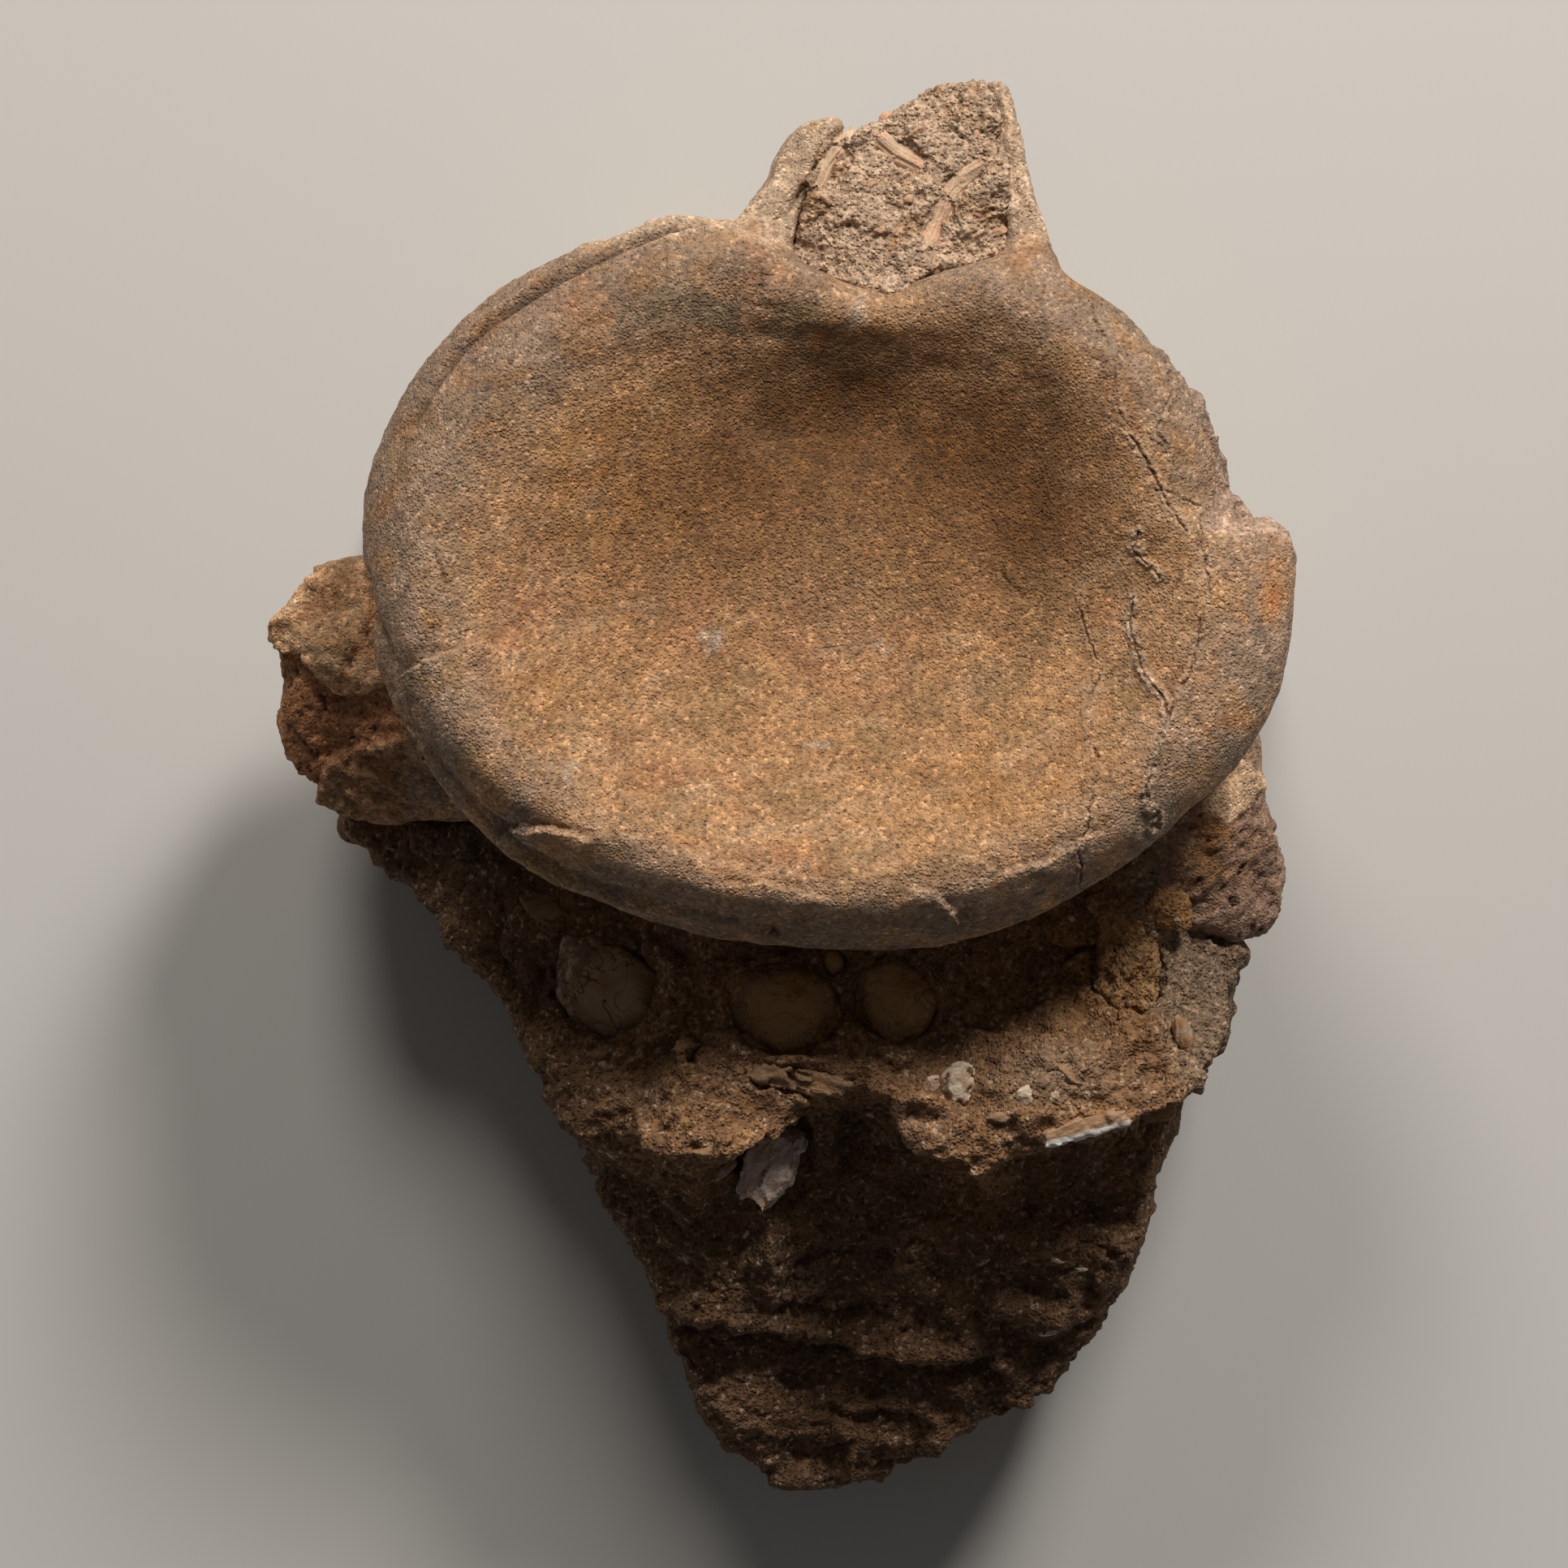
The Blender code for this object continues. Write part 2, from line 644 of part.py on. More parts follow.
def make_set_in_pieces(on_matrix):
    """What is set in the matrix: nodules, bits of shell and broken bone."""
    amber = stone("amber_nodule", (0.42, 0.27, 0.12), 0.45)
    grey = stone("grey_nodule", (0.36, 0.31, 0.24), 0.45)
    shell = stone("shell", (0.72, 0.68, 0.62), 0.5)
    ochre = stone("ochre_bone", (0.45, 0.28, 0.11), 0.8)
    dark = stone("dark_bone", (0.36, 0.27, 0.24), 0.7)
    pale = stone("layered_bone", (0.55, 0.39, 0.25), 0.75)
    shell_from, shell_to = on_matrix(27.4, -37.6, 0.4), on_matrix(36.0, -35.2, 0.2)
    dark_from, dark_to = on_matrix(0.4, -37.8, -0.6), on_matrix(-3.4, -44.4, 1.4)
    pale_from, pale_to = on_matrix(-3.6, -30.4, 0.3), on_matrix(6.4, -32.4, 0.4)
    return [
        pebble("nodule_left", on_matrix(-18.2, -22.6, -0.8), (7.4, 5.0, 2.8), -38.0, 0.7, grey),
        pebble("nodule_middle", on_matrix(0.0, -24.0, -1.0), (6.4, 4.9, 3.0), -14.0, 1.9, amber),
        pebble("nodule_right", on_matrix(11.6, -23.0, -0.8), (4.5, 5.2, 2.8), 8.0, 2.6, amber),
        pebble("nodule_small", on_matrix(5.2, -19.0, -0.4), (1.3, 1.9, 1.3), 4.0, 3.3, amber),
        pebble("ochre_chip", on_matrix(-10.3, -29.8, -0.2), (1.2, 3.0, 1.2), 6.0, 3.3, amber),
        pebble("ochre_fragment", on_matrix(36.8, -20.6, -1.4), (3.4, 6.4, 3.4), 4.0, 4.1, ochre),
        pebble("shell_flake", on_matrix(18.4, -31.9, 0.1), (2.1, 2.7, 0.9), -12.0, 5.5, shell),
        pebble("seed_fragment", on_matrix(42.4, -26.6, 0.0), (1.1, 2.0, 1.0), 18.0, 6.2, pale),
        splinter("shell_edge", shell_from, shell_to, 2.4, 1.5, 1.2, shell),
        splinter("dark_splinter", dark_from, dark_to, 5.6, 3.4, 2.3, dark),
        splinter("layered_splinter", pale_from, pale_to, 2.6, 2.0, 3.4, pale),
    ]


def make_canal_splinters(on_fill):
    pale = stone("canal_splinter", (0.55, 0.41, 0.27), 0.75)
    ends = [
        ((6.4, 67.0), (4.4, 62.6), 1.9),
        ((10.2, 67.8), (14.4, 64.9), 2.4),
        ((20.4, 64.8), (17.4, 62.0), 2.0),
        ((17.0, 61.0), (15.6, 57.2), 2.2),
    ]
    made = []
    for number, (start, end, width) in enumerate(ends, 1):
        points = on_fill(*start, 0.3), on_fill(*end, 0.3)
        made.append(splinter(f"canal_splinter_{number}", *points, width, 1.5, number * 1.7, pale))
    return made


def stand_on_origin(pieces):
    """Moves all of the pieces so that the middle of their foot is the origin."""
    corners = [vert.co for piece in pieces for vert in piece.data.vertices]
    low = Vector(min(c[k] for c in corners) for k in range(3))
    high = Vector(max(c[k] for c in corners) for k in range(3))
    foot = Vector(((low.x + high.x) / 2, (low.y + high.y) / 2, low.z))
    for piece in pieces:
        for vert in piece.data.vertices:
            vert.co -= foot


def main():
    for old in list(bpy.data.objects):
        bpy.data.objects.remove(old)
    bone = stone("fossil_bone", (0.43, 0.31, 0.2), 0.8)
    rock = stone("sandy_matrix", (0.36, 0.25, 0.15), 0.95)
    vertebra, canal_fill, matrix = make_vertebra(bone), make_canal_fill(rock), make_matrix(rock)
    splinters = make_canal_splinters(upper_side(canal_fill))
    set_in = make_set_in_pieces(upper_side(matrix))
    fragment = next(piece for piece in set_in if piece.name == "ochre_fragment")
    without(fragment, [vertebra])
    without(canal_fill, [vertebra, *splinters])
    without(matrix, [vertebra, *set_in])
    stand_on_origin([vertebra, matrix, canal_fill, *set_in, *splinters])


if __name__ == "__main__":
    main()
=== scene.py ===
"""A fossil plesiosaur vertebra in its sandy matrix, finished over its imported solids.

Places on the fossil are millimetres in the frame: +X to the right, +Y towards the neural arch
and +Z out of the dished joint face. Properties hold metres, as Blender does.
"""

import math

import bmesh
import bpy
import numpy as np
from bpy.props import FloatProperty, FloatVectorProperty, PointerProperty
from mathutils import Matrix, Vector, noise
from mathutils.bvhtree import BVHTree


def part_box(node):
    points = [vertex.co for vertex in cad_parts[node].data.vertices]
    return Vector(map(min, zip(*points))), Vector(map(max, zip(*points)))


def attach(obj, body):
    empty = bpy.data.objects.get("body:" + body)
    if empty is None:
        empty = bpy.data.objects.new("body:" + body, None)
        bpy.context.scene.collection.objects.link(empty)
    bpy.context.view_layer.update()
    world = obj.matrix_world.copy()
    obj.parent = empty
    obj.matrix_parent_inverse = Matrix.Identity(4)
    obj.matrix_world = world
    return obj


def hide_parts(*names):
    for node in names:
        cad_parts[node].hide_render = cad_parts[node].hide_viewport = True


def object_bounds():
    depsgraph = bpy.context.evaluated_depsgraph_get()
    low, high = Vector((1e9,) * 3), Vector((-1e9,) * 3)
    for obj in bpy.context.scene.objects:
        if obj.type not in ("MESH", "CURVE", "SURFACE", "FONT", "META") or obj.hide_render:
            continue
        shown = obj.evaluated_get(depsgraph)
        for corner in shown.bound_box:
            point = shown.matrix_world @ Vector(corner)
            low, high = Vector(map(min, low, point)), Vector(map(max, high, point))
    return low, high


bl_info = {
    "name": "Fossil vertebra",
    "version": (1, 0, 0),
    "blender": (4, 5, 0),
    "location": "3D View > Sidebar > Fossil",
    "description": "Finishes a fossil vertebra and the block of matrix that holds it",
    "category": "Object",
}

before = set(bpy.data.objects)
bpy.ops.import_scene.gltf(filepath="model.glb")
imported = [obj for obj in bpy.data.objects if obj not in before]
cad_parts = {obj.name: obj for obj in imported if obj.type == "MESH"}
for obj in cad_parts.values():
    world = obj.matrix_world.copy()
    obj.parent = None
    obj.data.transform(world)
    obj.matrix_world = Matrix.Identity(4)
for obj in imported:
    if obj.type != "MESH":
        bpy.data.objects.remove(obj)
CAD_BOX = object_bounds()

MM = 0.001
WELD = 0.01 * MM
# How far the finished surface stays inside the solids' box, and a height above it all.
MARGIN = 0.02
ABOVE_ALL = 200.0

# The joint face: the middle of its bowl and the half axes out to its lip.
FACE_CENTRE = (6.4, 21.5)
FACE_OVAL = (48.0, 38.0)
FACE_HEIGHT = 47.0

# Cracks in the joint face: the points of each, its half width, its depth and how far the
# crumbled edges beside it stand up.
CRACKS = [
    ([(32.8, 51.3), (33.6, 48.9), (34.4, 46.5), (34.9, 43.8), (35.2, 41.2), (36.1, 38.5),
      (37.5, 36.1), (38.6, 34.2), (40.0, 31.5), (41.3, 28.8), (42.3, 27.5)], 0.11, 0.40, 0.10),
    ([(40.9, 44.3), (41.2, 42.6), (40.4, 40.2), (39.6, 37.8), (40.7, 35.8), (41.4, 33.9)],
     0.10, 0.25, 0.12),
    ([(39.0, 31.8), (41.4, 31.5), (43.4, 30.5), (45.2, 29.9)], 0.10, 0.25, 0.05),
    ([(44.1, 29.2), (44.1, 26.5), (44.6, 22.8), (44.3, 19.9), (43.8, 17.2), (43.3, 14.1),
      (42.3, 12.5), (41.3, 10.5), (40.7, 8.5)], 0.10, 0.32, 0.08),
    ([(37.3, 27.2), (37.1, 25.6), (38.7, 24.2), (39.4, 22.9)], 0.12, 0.22, 0.19),
    ([(37.4, 20.6), (36.7, 17.9), (37.4, 15.9), (37.7, 13.6), (38.7, 11.6), (40.0, 9.9),
      (40.6, 8.2), (39.3, 4.8), (38.5, 1.2), (38.6, -0.8), (39.7, -1.8), (39.0, -3.5)],
     0.13, 0.24, 0.23),
    ([(31.2, 21.9), (31.7, 19.3), (32.8, 16.2), (33.5, 12.6), (32.7, 10.3), (32.8, 6.9),
      (33.2, 2.7), (32.7, -0.2), (32.6, -1.5), (31.6, -5.5), (31.8, -9.5), (31.4, -11.5)],
     0.10, 0.34, 0.06),
    ([(-35.1, 24.9), (-34.6, 23.6), (-34.4, 22.0)], 0.13, 0.40, 0.0),
    ([(-35.4, 19.3), (-35.5, 17.9), (-35.4, 16.4)], 0.11, 0.30, 0.0),
    ([(-27.9, 27.3), (-26.9, 26.0), (-26.2, 24.5), (-25.6, 24.0)], 0.11, 0.30, 0.0),
    ([(23.2, 23.9), (24.4, 22.4), (26.1, 20.1)], 0.12, 0.30, 0.0),
    ([(-1.7, 55.3), (-1.4, 52.4), (-1.4, 49.1)], 0.11, 0.25, 0.0),
    ([(-11.8, 57.6), (-11.4, 56.5), (-11.5, 54.9), (-12.5, 53.4)], 0.11, 0.30, 0.0),
    ([(-14.7, 35.6), (-14.4, 33.4), (-14.5, 31.2)], 0.09, 0.35, 0.0),
    ([(-13.0, 34.9), (-13.2, 32.4)], 0.08, 0.30, 0.0),
    ([(-12.0, 35.1), (-12.2, 32.6), (-12.0, 29.9)], 0.09, 0.35, 0.0),
    ([(-10.4, 33.7), (-10.5, 31.2), (-10.1, 28.8)], 0.08, 0.30, 0.0),
]
# Where a flake of the surface is lost: the points along its edge, the step's height and how far
# the step fades out over. The lost side is on the left, going along the points.
FLAKES = [
    ([(-36.7, 5.0), (-38.2, 9.5), (-38.8, 12.8), (-38.1, 13.3), (-36.8, 14.0), (-35.5, 14.6),
      (-33.7, 15.1), (-32.2, 15.7), (-31.2, 15.9)], 1.30, 4.5),
    ([(-26.7, -3.7), (-24.9, -3.4), (-23.6, -3.2), (-21.9, -3.7), (-20.0, -4.5), (-18.6, -3.7),
      (-16.5, -3.5), (-14.6, -4.1), (-12.3, -4.5), (-10.2, -5.2)], 0.85, 4.5),
    ([(-4.4, -9.2), (-2.0, -8.9), (0.1, -9.2), (2.4, -9.7), (3.6, -10.1)], 0.45, 2.5),
    ([(10.9, -7.8), (13.3, -7.1), (15.6, -5.8), (17.9, -5.5), (20.3, -6.0), (22.2, -7.1),
      (23.2, -7.8), (25.2, -7.3), (27.6, -6.8), (29.5, -5.8)], 0.70, 3.2),
    ([(14.0, -10.1), (15.2, -9.4), (16.6, -9.6), (17.3, -11.1), (18.3, -12.3)], 0.60, 2.4),
]
# A patch of fine strokes across the joint face, below the arch.
STROKES = ((8.3, 50.0), (1.6, 2.4))
# Wide dents and swellings of the joint face: the middle, the half axes and the height.
DENTS = [
    ((8.6, 43.0), (13.0, 6.0), -0.5),
    ((5.0, 39.8), (9.0, 5.5), -0.7),
    ((7.0, 51.0), (8.0, 2.6), 0.5),
    ((27.0, 35.0), (7.0, 9.0), -0.7),
    ((-32.0, 8.0), (5.0, 8.0), 0.4),
]
# Patches of chalky sediment on the joint face: the middle and the half axes.
CHALK = [((-7.0, 16.7), (2.2, 1.6)), ((10.9, 15.5), (1.5, 0.8)), ((-21.4, 2.8), (1.2, 1.6)),
         ((-23.6, 3.4), (0.6, 0.9)), ((4.6, 5.6), (1.6, 0.7)), ((8.3, 50.4), (1.5, 2.3))]
# The dip under the notch of the arch, and other places where the bone is dark: a deep brown stain,
# with painted shade over it.
HOLLOWS = [((5.1, 40.5), (13.0, 6.5)), ((20.0, 37.5), (13.0, 7.0)), ((26.0, 30.0), (5.0, 8.0))]
# The rust spot on the right lip, the green tint at the upper left and the bruised right lip.
ORANGE_SPOT = ((51.7, 20.8), (1.0, 1.6))
GREEN_TINT = ((-3.0, 50.0), (12.0, 5.0))
BRUISED_LIP = ((47.5, 18.0), (6.0, 10.0))
# Patches of the bowl with a warmer, orange tint.
WARM = [((-17.0, 34.0), (8.0, 11.0)), ((24.0, 1.0), (12.0, 5.0)), ((-24.0, 12.0), (5.0, 4.0))]
# The groove behind the lip at the upper left, and the thin ridge below it at the lower left.
LIP_GROOVE = [(-6.0, 60.2), (-11.4, 59.0), (-16.4, 57.0), (-19.9, 55.2), (-25.3, 52.3),
              (-29.6, 49.5), (-32.8, 46.7), (-35.6, 42.7), (-38.1, 38.5)]
LOW_RIDGE = [(-44.1, 22.6), (-43.7, 19.2), (-41.6, 14.5), (-39.5, 9.8), (-37.4, 6.2),
             (-34.9, 2.0), (-31.7, -1.9), (-26.9, -6.5), (-22.7, -8.8), (-18.1, -10.3),
             (-14.8, -11.5), (-7.5, -12.4), (-1.4, -14.2)]
# The break where the right lip is lost, and the sharp edge where the lip goes on below it.
LIP_BREAK = [(36.0, 50.5), (40.9, 45.9), (42.6, 43.4), (44.3, 39.1), (45.7, 35.7),
             (46.0, 32.4), (45.5, 30.2), (47.3, 29.0), (51.2, 29.0), (56.0, 28.9)]
NOTCH_EDGE = [(44.5, 31.0), (47.3, 29.0), (51.2, 29.0), (54.0, 28.9), (54.6, 25.5)]
# The step across the left rib's stump, and the edge of the fibrous block at its lower end.
RIB_STEP = [(-58.0, 18.0), (-53.6, 16.1), (-52.5, 15.4), (-51.0, 15.2), (-50.3, 14.0),
            (-49.0, 12.9), (-48.1, 12.1), (-47.6, 11.1), (-46.0, 10.6), (-44.7, 10.1),
            (-42.2, 11.0), (-40.5, 11.2), (-36.0, 11.0)]
RIB_BLOCK = [(-50.5, -2.0), (-48.8, 3.2), (-47.8, 4.5), (-44.0, 5.8), (-41.3, 6.3), (-36.0, 6.6)]
# Where the canal's rock ends against the two laminae.
LAMINA_EDGES = [
    [(8.1, 71.7), (7.1, 69.7), (6.1, 69.4), (4.9, 67.1), (3.8, 65.0), (2.0, 62.5), (1.1, 61.1)],
    [(19.7, 76.1), (23.2, 73.3), (23.7, 69.7), (24.4, 66.8), (25.5, 63.2), (26.4, 59.9)],
]

# The lit edge of the matrix's ledge.
LEDGE = [(-9.2, -39.6), (-3.7, -38.6), (2.4, -35.2), (12.4, -35.0), (15.6, -38.3),
         (20.7, -41.4), (28.7, -37.2), (36.8, -35.5), (44.0, -32.6)]
LEDGE_HEIGHT = 46.2
NODULES = ("nodule_left", "nodule_middle", "nodule_right")
# Patches of the matrix: its iron stains, a fainter stain, leached rock and painted shade on
# the rock under the lip at the left. Each has its middle and its half axes.
STAINS = [((34.0, -20.0), (7.0, 6.5)), ((-24.5, -12.6), (5.0, 2.6)), ((-18.0, -25.4), (2.4, 3.4))]
FAINT_STAIN = ((32.0, -33.6), (5.0, 1.6))
LEACHED = ((29.4, -29.4), (6.0, 3.2))
SHADED = ((-25.0, -34.0), (9.0, 15.0))
# Lower ledges of the matrix: the edge of each, and the drop on its lower side.
BEDS = [
    ([(-12.5, -56.4), (-8.9, -57.7), (-3.7, -57.6), (0.9, -59.3), (5.6, -59.2), (10.2, -60.8),
      (17.0, -61.9), (23.2, -61.3), (26.5, -63.4)], 2.9),
    ([(22.0, -56.2), (24.6, -56.9), (28.8, -57.7), (34.0, -56.7), (37.5, -55.6)], 1.7),
    ([(3.5, -66.6), (8.0, -67.4), (13.0, -66.6), (17.5, -67.8)], 1.2),
]
# Mounds and pits of the matrix: the middle, the half axes and the height.
MOUNDS = [
    ((-22.0, -20.6), (4.0, 3.2), -3.0),
    ((17.9, -27.4), (4.6, 3.0), -1.7),
    ((29.4, -28.6), (6.0, 3.4), 1.6),
    ((14.4, -33.9), (3.2, 1.2), -1.6),
    ((7.4, -37.6), (5.2, 3.4), -3.4),
    ((-1.5, -33.6), (5.5, 2.4), -0.9),
    ((-4.4, -27.4), (1.6, 2.6), 0.9),
    ((-14.0, -31.0), (3.0, 3.0), -1.3),
    ((34.6, -17.0), (6.4, 5.4), -1.6),
    ((-24.5, -12.6), (4.6, 2.4), 1.0),
    ((31.1, -50.6), (6.4, 3.8), 1.9),
    ((24.0, -44.6), (12.0, 2.6), -1.3),
    ((5.2, -52.6), (7.5, 4.2), -2.6),
    ((-0.6, -49.6), (1.5, 4.6), 1.8),
    ((-6.8, -53.8), (6.5, 2.6), 1.0),
    ((14.0, -56.0), (8.0, 3.0), -0.8),
    ((12.0, -64.2), (9.0, 2.0), -0.9),
]

# Splinters of bone in the canal: the path of each, its width and its seed.
SPLINTER_PATHS = {
    "canal_splinter_1": ([(8.6, 70.2), (6.8, 68.4), (5.3, 66.4), (4.3, 63.9)], 2.0, 3.0),
    "canal_splinter_2": ([(10.5, 69.3), (12.6, 67.6), (15.6, 66.0)], 2.3, 5.0),
    "canal_splinter_3": ([(21.7, 66.3), (19.4, 64.9), (17.9, 63.0)], 2.3, 8.0),
    "canal_splinter_4": ([(17.6, 62.4), (16.7, 60.2), (15.6, 57.7)], 2.3, 11.0),
}
# Loose crumbs: the middle of each, its half axes and how far it is turned, in degrees.
CANAL_CRUMBS = [
    ((12.0, 72.2), (1.2, 0.8, 0.7), 20.0), ((19.3, 64.9), (0.9, 1.0, 0.5), 50.0),
    ((23.3, 59.3), (1.5, 0.4, 0.35), 10.0), ((9.8, 64.2), (0.6, 0.5, 0.5), 0.0),
    ((5.1, 62.6), (0.7, 0.4, 0.3), -30.0), ((21.0, 69.6), (0.8, 0.5, 0.4), 60.0),
    ((13.7, 62.5), (0.5, 0.5, 0.4), 10.0), ((20.9, 61.0), (0.6, 0.3, 0.3), -20.0),
    ((14.6, 69.8), (0.7, 0.4, 0.35), 35.0), ((10.9, 59.2), (0.6, 0.35, 0.3), 15.0),
]
SHELL_CRUMBS = [
    ((19.6, -32.2), (1.2, 0.8, 0.35), 25.0), ((16.4, -30.4), (0.8, 0.9, 0.3), -15.0),
    ((26.4, -31.6), (1.2, 0.9, 0.8), 10.0), ((29.3, -31.6), (0.9, 0.8, 0.7), 40.0),
    ((10.2, -34.0), (0.7, 0.5, 0.5), 0.0), ((29.9, -49.6), (0.9, 0.4, 0.3), -20.0),
    ((22.3, -50.2), (0.7, 0.4, 0.3), 35.0), ((32.8, -50.9), (0.8, 0.5, 0.3), 12.0),
    ((29.4, -58.0), (0.8, 0.5, 0.35), 20.0), ((-17.6, -38.4), (0.5, 0.4, 0.3), 0.0),
    ((-9.8, -50.0), (0.6, 0.4, 0.3), -35.0), ((-3.2, -47.0), (0.7, 0.35, 0.3), 60.0),
    ((31.5, -13.0), (0.9, 0.5, 0.4), 20.0),
]
BONE_CRUMBS = [
    ((-24.2, -13.0), (4.3, 1.7, 0.9), -24.0), ((-18.0, -25.6), (1.9, 3.2, 0.9), 20.0),
    ((5.4, -17.6), (1.7, 1.9, 0.8), 12.0), ((-3.0, -26.2), (2.4, 0.9, 0.8), -20.0),
    ((40.0, -34.2), (2.4, 1.2, 0.9), 14.0), ((30.6, -29.0), (1.6, 0.7, 0.7), -35.0),
    ((33.0, -26.4), (0.8, 0.5, 0.5), 0.0), ((-7.0, -37.6), (2.0, 0.8, 0.7), 8.0),
    ((-1.5, -41.2), (1.2, 1.9, 0.9), 35.0), ((24.0, -33.9), (1.5, 0.6, 0.5), 12.0),
]
ORANGE_SLABS = [
    ((31.5, -14.0), (3.8, 3.0, 1.6), 20.0), ((36.6, -12.4), (3.4, 3.4, 1.6), -30.0),
    ((33.6, -19.2), (3.2, 2.2, 1.3), 10.0), ((38.4, -17.0), (2.6, 2.2, 1.4), 50.0),
    ((41.2, -12.0), (2.4, 3.0, 1.3), 15.0),
]
DARK_CRUMBS = [
    ((-5.6, -39.9), (2.0, 0.9, 1.1), 52.0), ((-3.4, -41.6), (1.5, 0.8, 1.0), 66.0),
    ((-1.9, -39.0), (1.7, 0.8, 0.9), 40.0), ((0.6, -38.2), (1.3, 0.7, 0.7), 30.0),
]
# Where crumbs of rock are strewn, across and up, and the lowest rock that carries any.
STREWN_X, STREWN_Y, STREWN_ABOVE = (-34.0, 44.0), (-64.0, -14.0), 16.0
# The share of its height that each of these bits has lost to wear.
FLATTENED = {"ochre_fragment": 0.3, "layered_splinter": 0.3, "shell_flake": 0.55}

# The key lights, with the way to each from the fossil and its watts, and the sky that fills in.
KEYS = {"key_right": ((0.42, 0.88, 0.70), 10.5), "key_left": ((-0.22, 0.88, 0.66), 5.5)}
KEY_COLOR = (1.0, 0.96, 0.90)
SKY_COLOR = (1.0, 0.98, 0.95, 1.0)
SKY_STRENGTH = 0.075
# Where the camera stands above the joint face, and its sensor's width and near and far ends.
CAMERA_SPOT = (0.766 * MM, 1.353 * MM)
SENSOR_WIDTH = 36.0
CAMERA_NEAR, CAMERA_FAR = 0.05, 20.0


def ease(t):
    """Eases from 0 to 1 as t goes from 0 to 1."""
    t = np.clip(t, 0.0, 1.0)
    return t * t * (3.0 - 2.0 * t)


def bell(t):
    """1 where t is nothing, falling to nothing on both sides."""
    return np.exp(-(t**2))


def lumps(places, size, seed, octaves=3):
    """Rough relief between about -1 and 1 at each place, in lumps of about that size."""
    start = Vector((seed, 2.7 * seed, 1.3 * seed))
    scaled = places / size
    return np.array([noise.fractal(Vector(p) + start, 0.9, 2.1, octaves) for p in scaled])


def combed(places, turn_deg, stretch):
    """The places drawn together along a way on the face, so that lumps read there run along it."""
    turn = math.radians(turn_deg)
    along = places[:, 0] * math.cos(turn) + places[:, 1] * math.sin(turn)
    across = places[:, 1] * math.cos(turn) - places[:, 0] * math.sin(turn)
    return np.stack([along / stretch, across, places[:, 2]], 1)


def facets(places, size, seed, soft=0.14):
    """Relief between about -1 and 1, like rock broken along planes of about that size."""
    start = Vector((seed, 0.9 * seed, 2.3 * seed))
    half = Vector((0.5, 0.5, 0.5))
    heights = np.empty(len(places))
    for index, place in enumerate(places / size):
        spot = Vector(place) + start
        gaps, middles = noise.voronoi(spot)
        planes = [
            2.6 * (noise.cell_vector(middle * 7.0) - half).dot(spot - middle)
            + 0.6 * noise.cell(middle * 5.0)
            for middle in middles[:2]
        ]
        share = 0.5 + 0.5 * min(1.0, (gaps[1] - gaps[0]) / soft)
        heights[index] = share * planes[0] + (1.0 - share) * planes[1]
    return heights


def off_line(places, line):
    """How far each place is from a line of points, and its side: 1 on the left, -1 on the right."""
    flat = places[:, :2]
    best, side = np.full(len(flat), 1e9), np.ones(len(flat))
    for start, end in zip(np.array(line), np.array(line)[1:]):
        along = end - start
        t = np.clip((flat - start) @ along / (along @ along), 0.0, 1.0)
        gap = flat - start - t[:, None] * along
        distance = np.hypot(gap[:, 0], gap[:, 1])
        nearer = distance < best
        best[nearer] = distance[nearer]
        side[nearer] = np.sign(along[0] * gap[:, 1] - along[1] * gap[:, 0])[nearer]
    return best, side


def jittered(places, size, reach, seed):
    """The places, each moved a little, so that a line read at them is ragged."""
    moved = places.copy()
    for axis in (0, 1):
        moved[:, axis] += reach * lumps(places, size, seed + axis, 2)
    return moved


def merged_copy(node):
    """A bmesh of a CAD node's mesh, with its loose triangles merged."""
    bm = bmesh.new()
    bm.from_mesh(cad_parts[node].data)
    bmesh.ops.remove_doubles(bm, verts=bm.verts, dist=WELD)
    return bm


def new_piece(name, bm):
    """A piece with the bmesh's form, in the scene."""
    mesh = bpy.data.meshes.new(name)
    bm.to_mesh(mesh)
    bm.free()
    piece = bpy.data.objects.new(name, mesh)
    bpy.context.scene.collection.objects.link(piece)
    return piece


def even_celled(name, bm, cell):
    """A piece of the bmesh's form with its surface in even cells, ready for fine relief."""
    piece = new_piece(name, bm)
    cells = piece.modifiers.new("cells", "REMESH")
    cells.mode = "VOXEL"
    cells.voxel_size = cell
    shapes = bpy.context.evaluated_depsgraph_get()
    mesh = bpy.data.meshes.new_from_object(piece.evaluated_get(shapes))
    piece.modifiers.clear()
    old, piece.data = piece.data, mesh
    bpy.data.meshes.remove(old)
    mesh.name = name
    return piece


def smoothed(piece, times, zone=None):
    """Eases the surface, or only the zone, so that the solid's flat faces don't show."""
    wanted = zone(*surface(piece)) if zone else None
    bm = bmesh.new()
    bm.from_mesh(piece.data)
    verts = [vert for vert in bm.verts if wanted is None or wanted[vert.index]]
    for _ in range(times):
        bmesh.ops.smooth_vert(
            bm, verts=verts, factor=0.5, use_axis_x=True, use_axis_y=True, use_axis_z=True
        )
    bm.to_mesh(piece.data)
    bm.free()


def surface(piece):
    """The place of each of the piece's points in millimetres, and the way that it looks."""
    verts = piece.data.vertices
    places, looks = np.empty(len(verts) * 3), np.empty(len(verts) * 3)
    verts.foreach_get("co", places)
    verts.foreach_get("normal", looks)
    return places.reshape(-1, 3) / MM, looks.reshape(-1, 3)


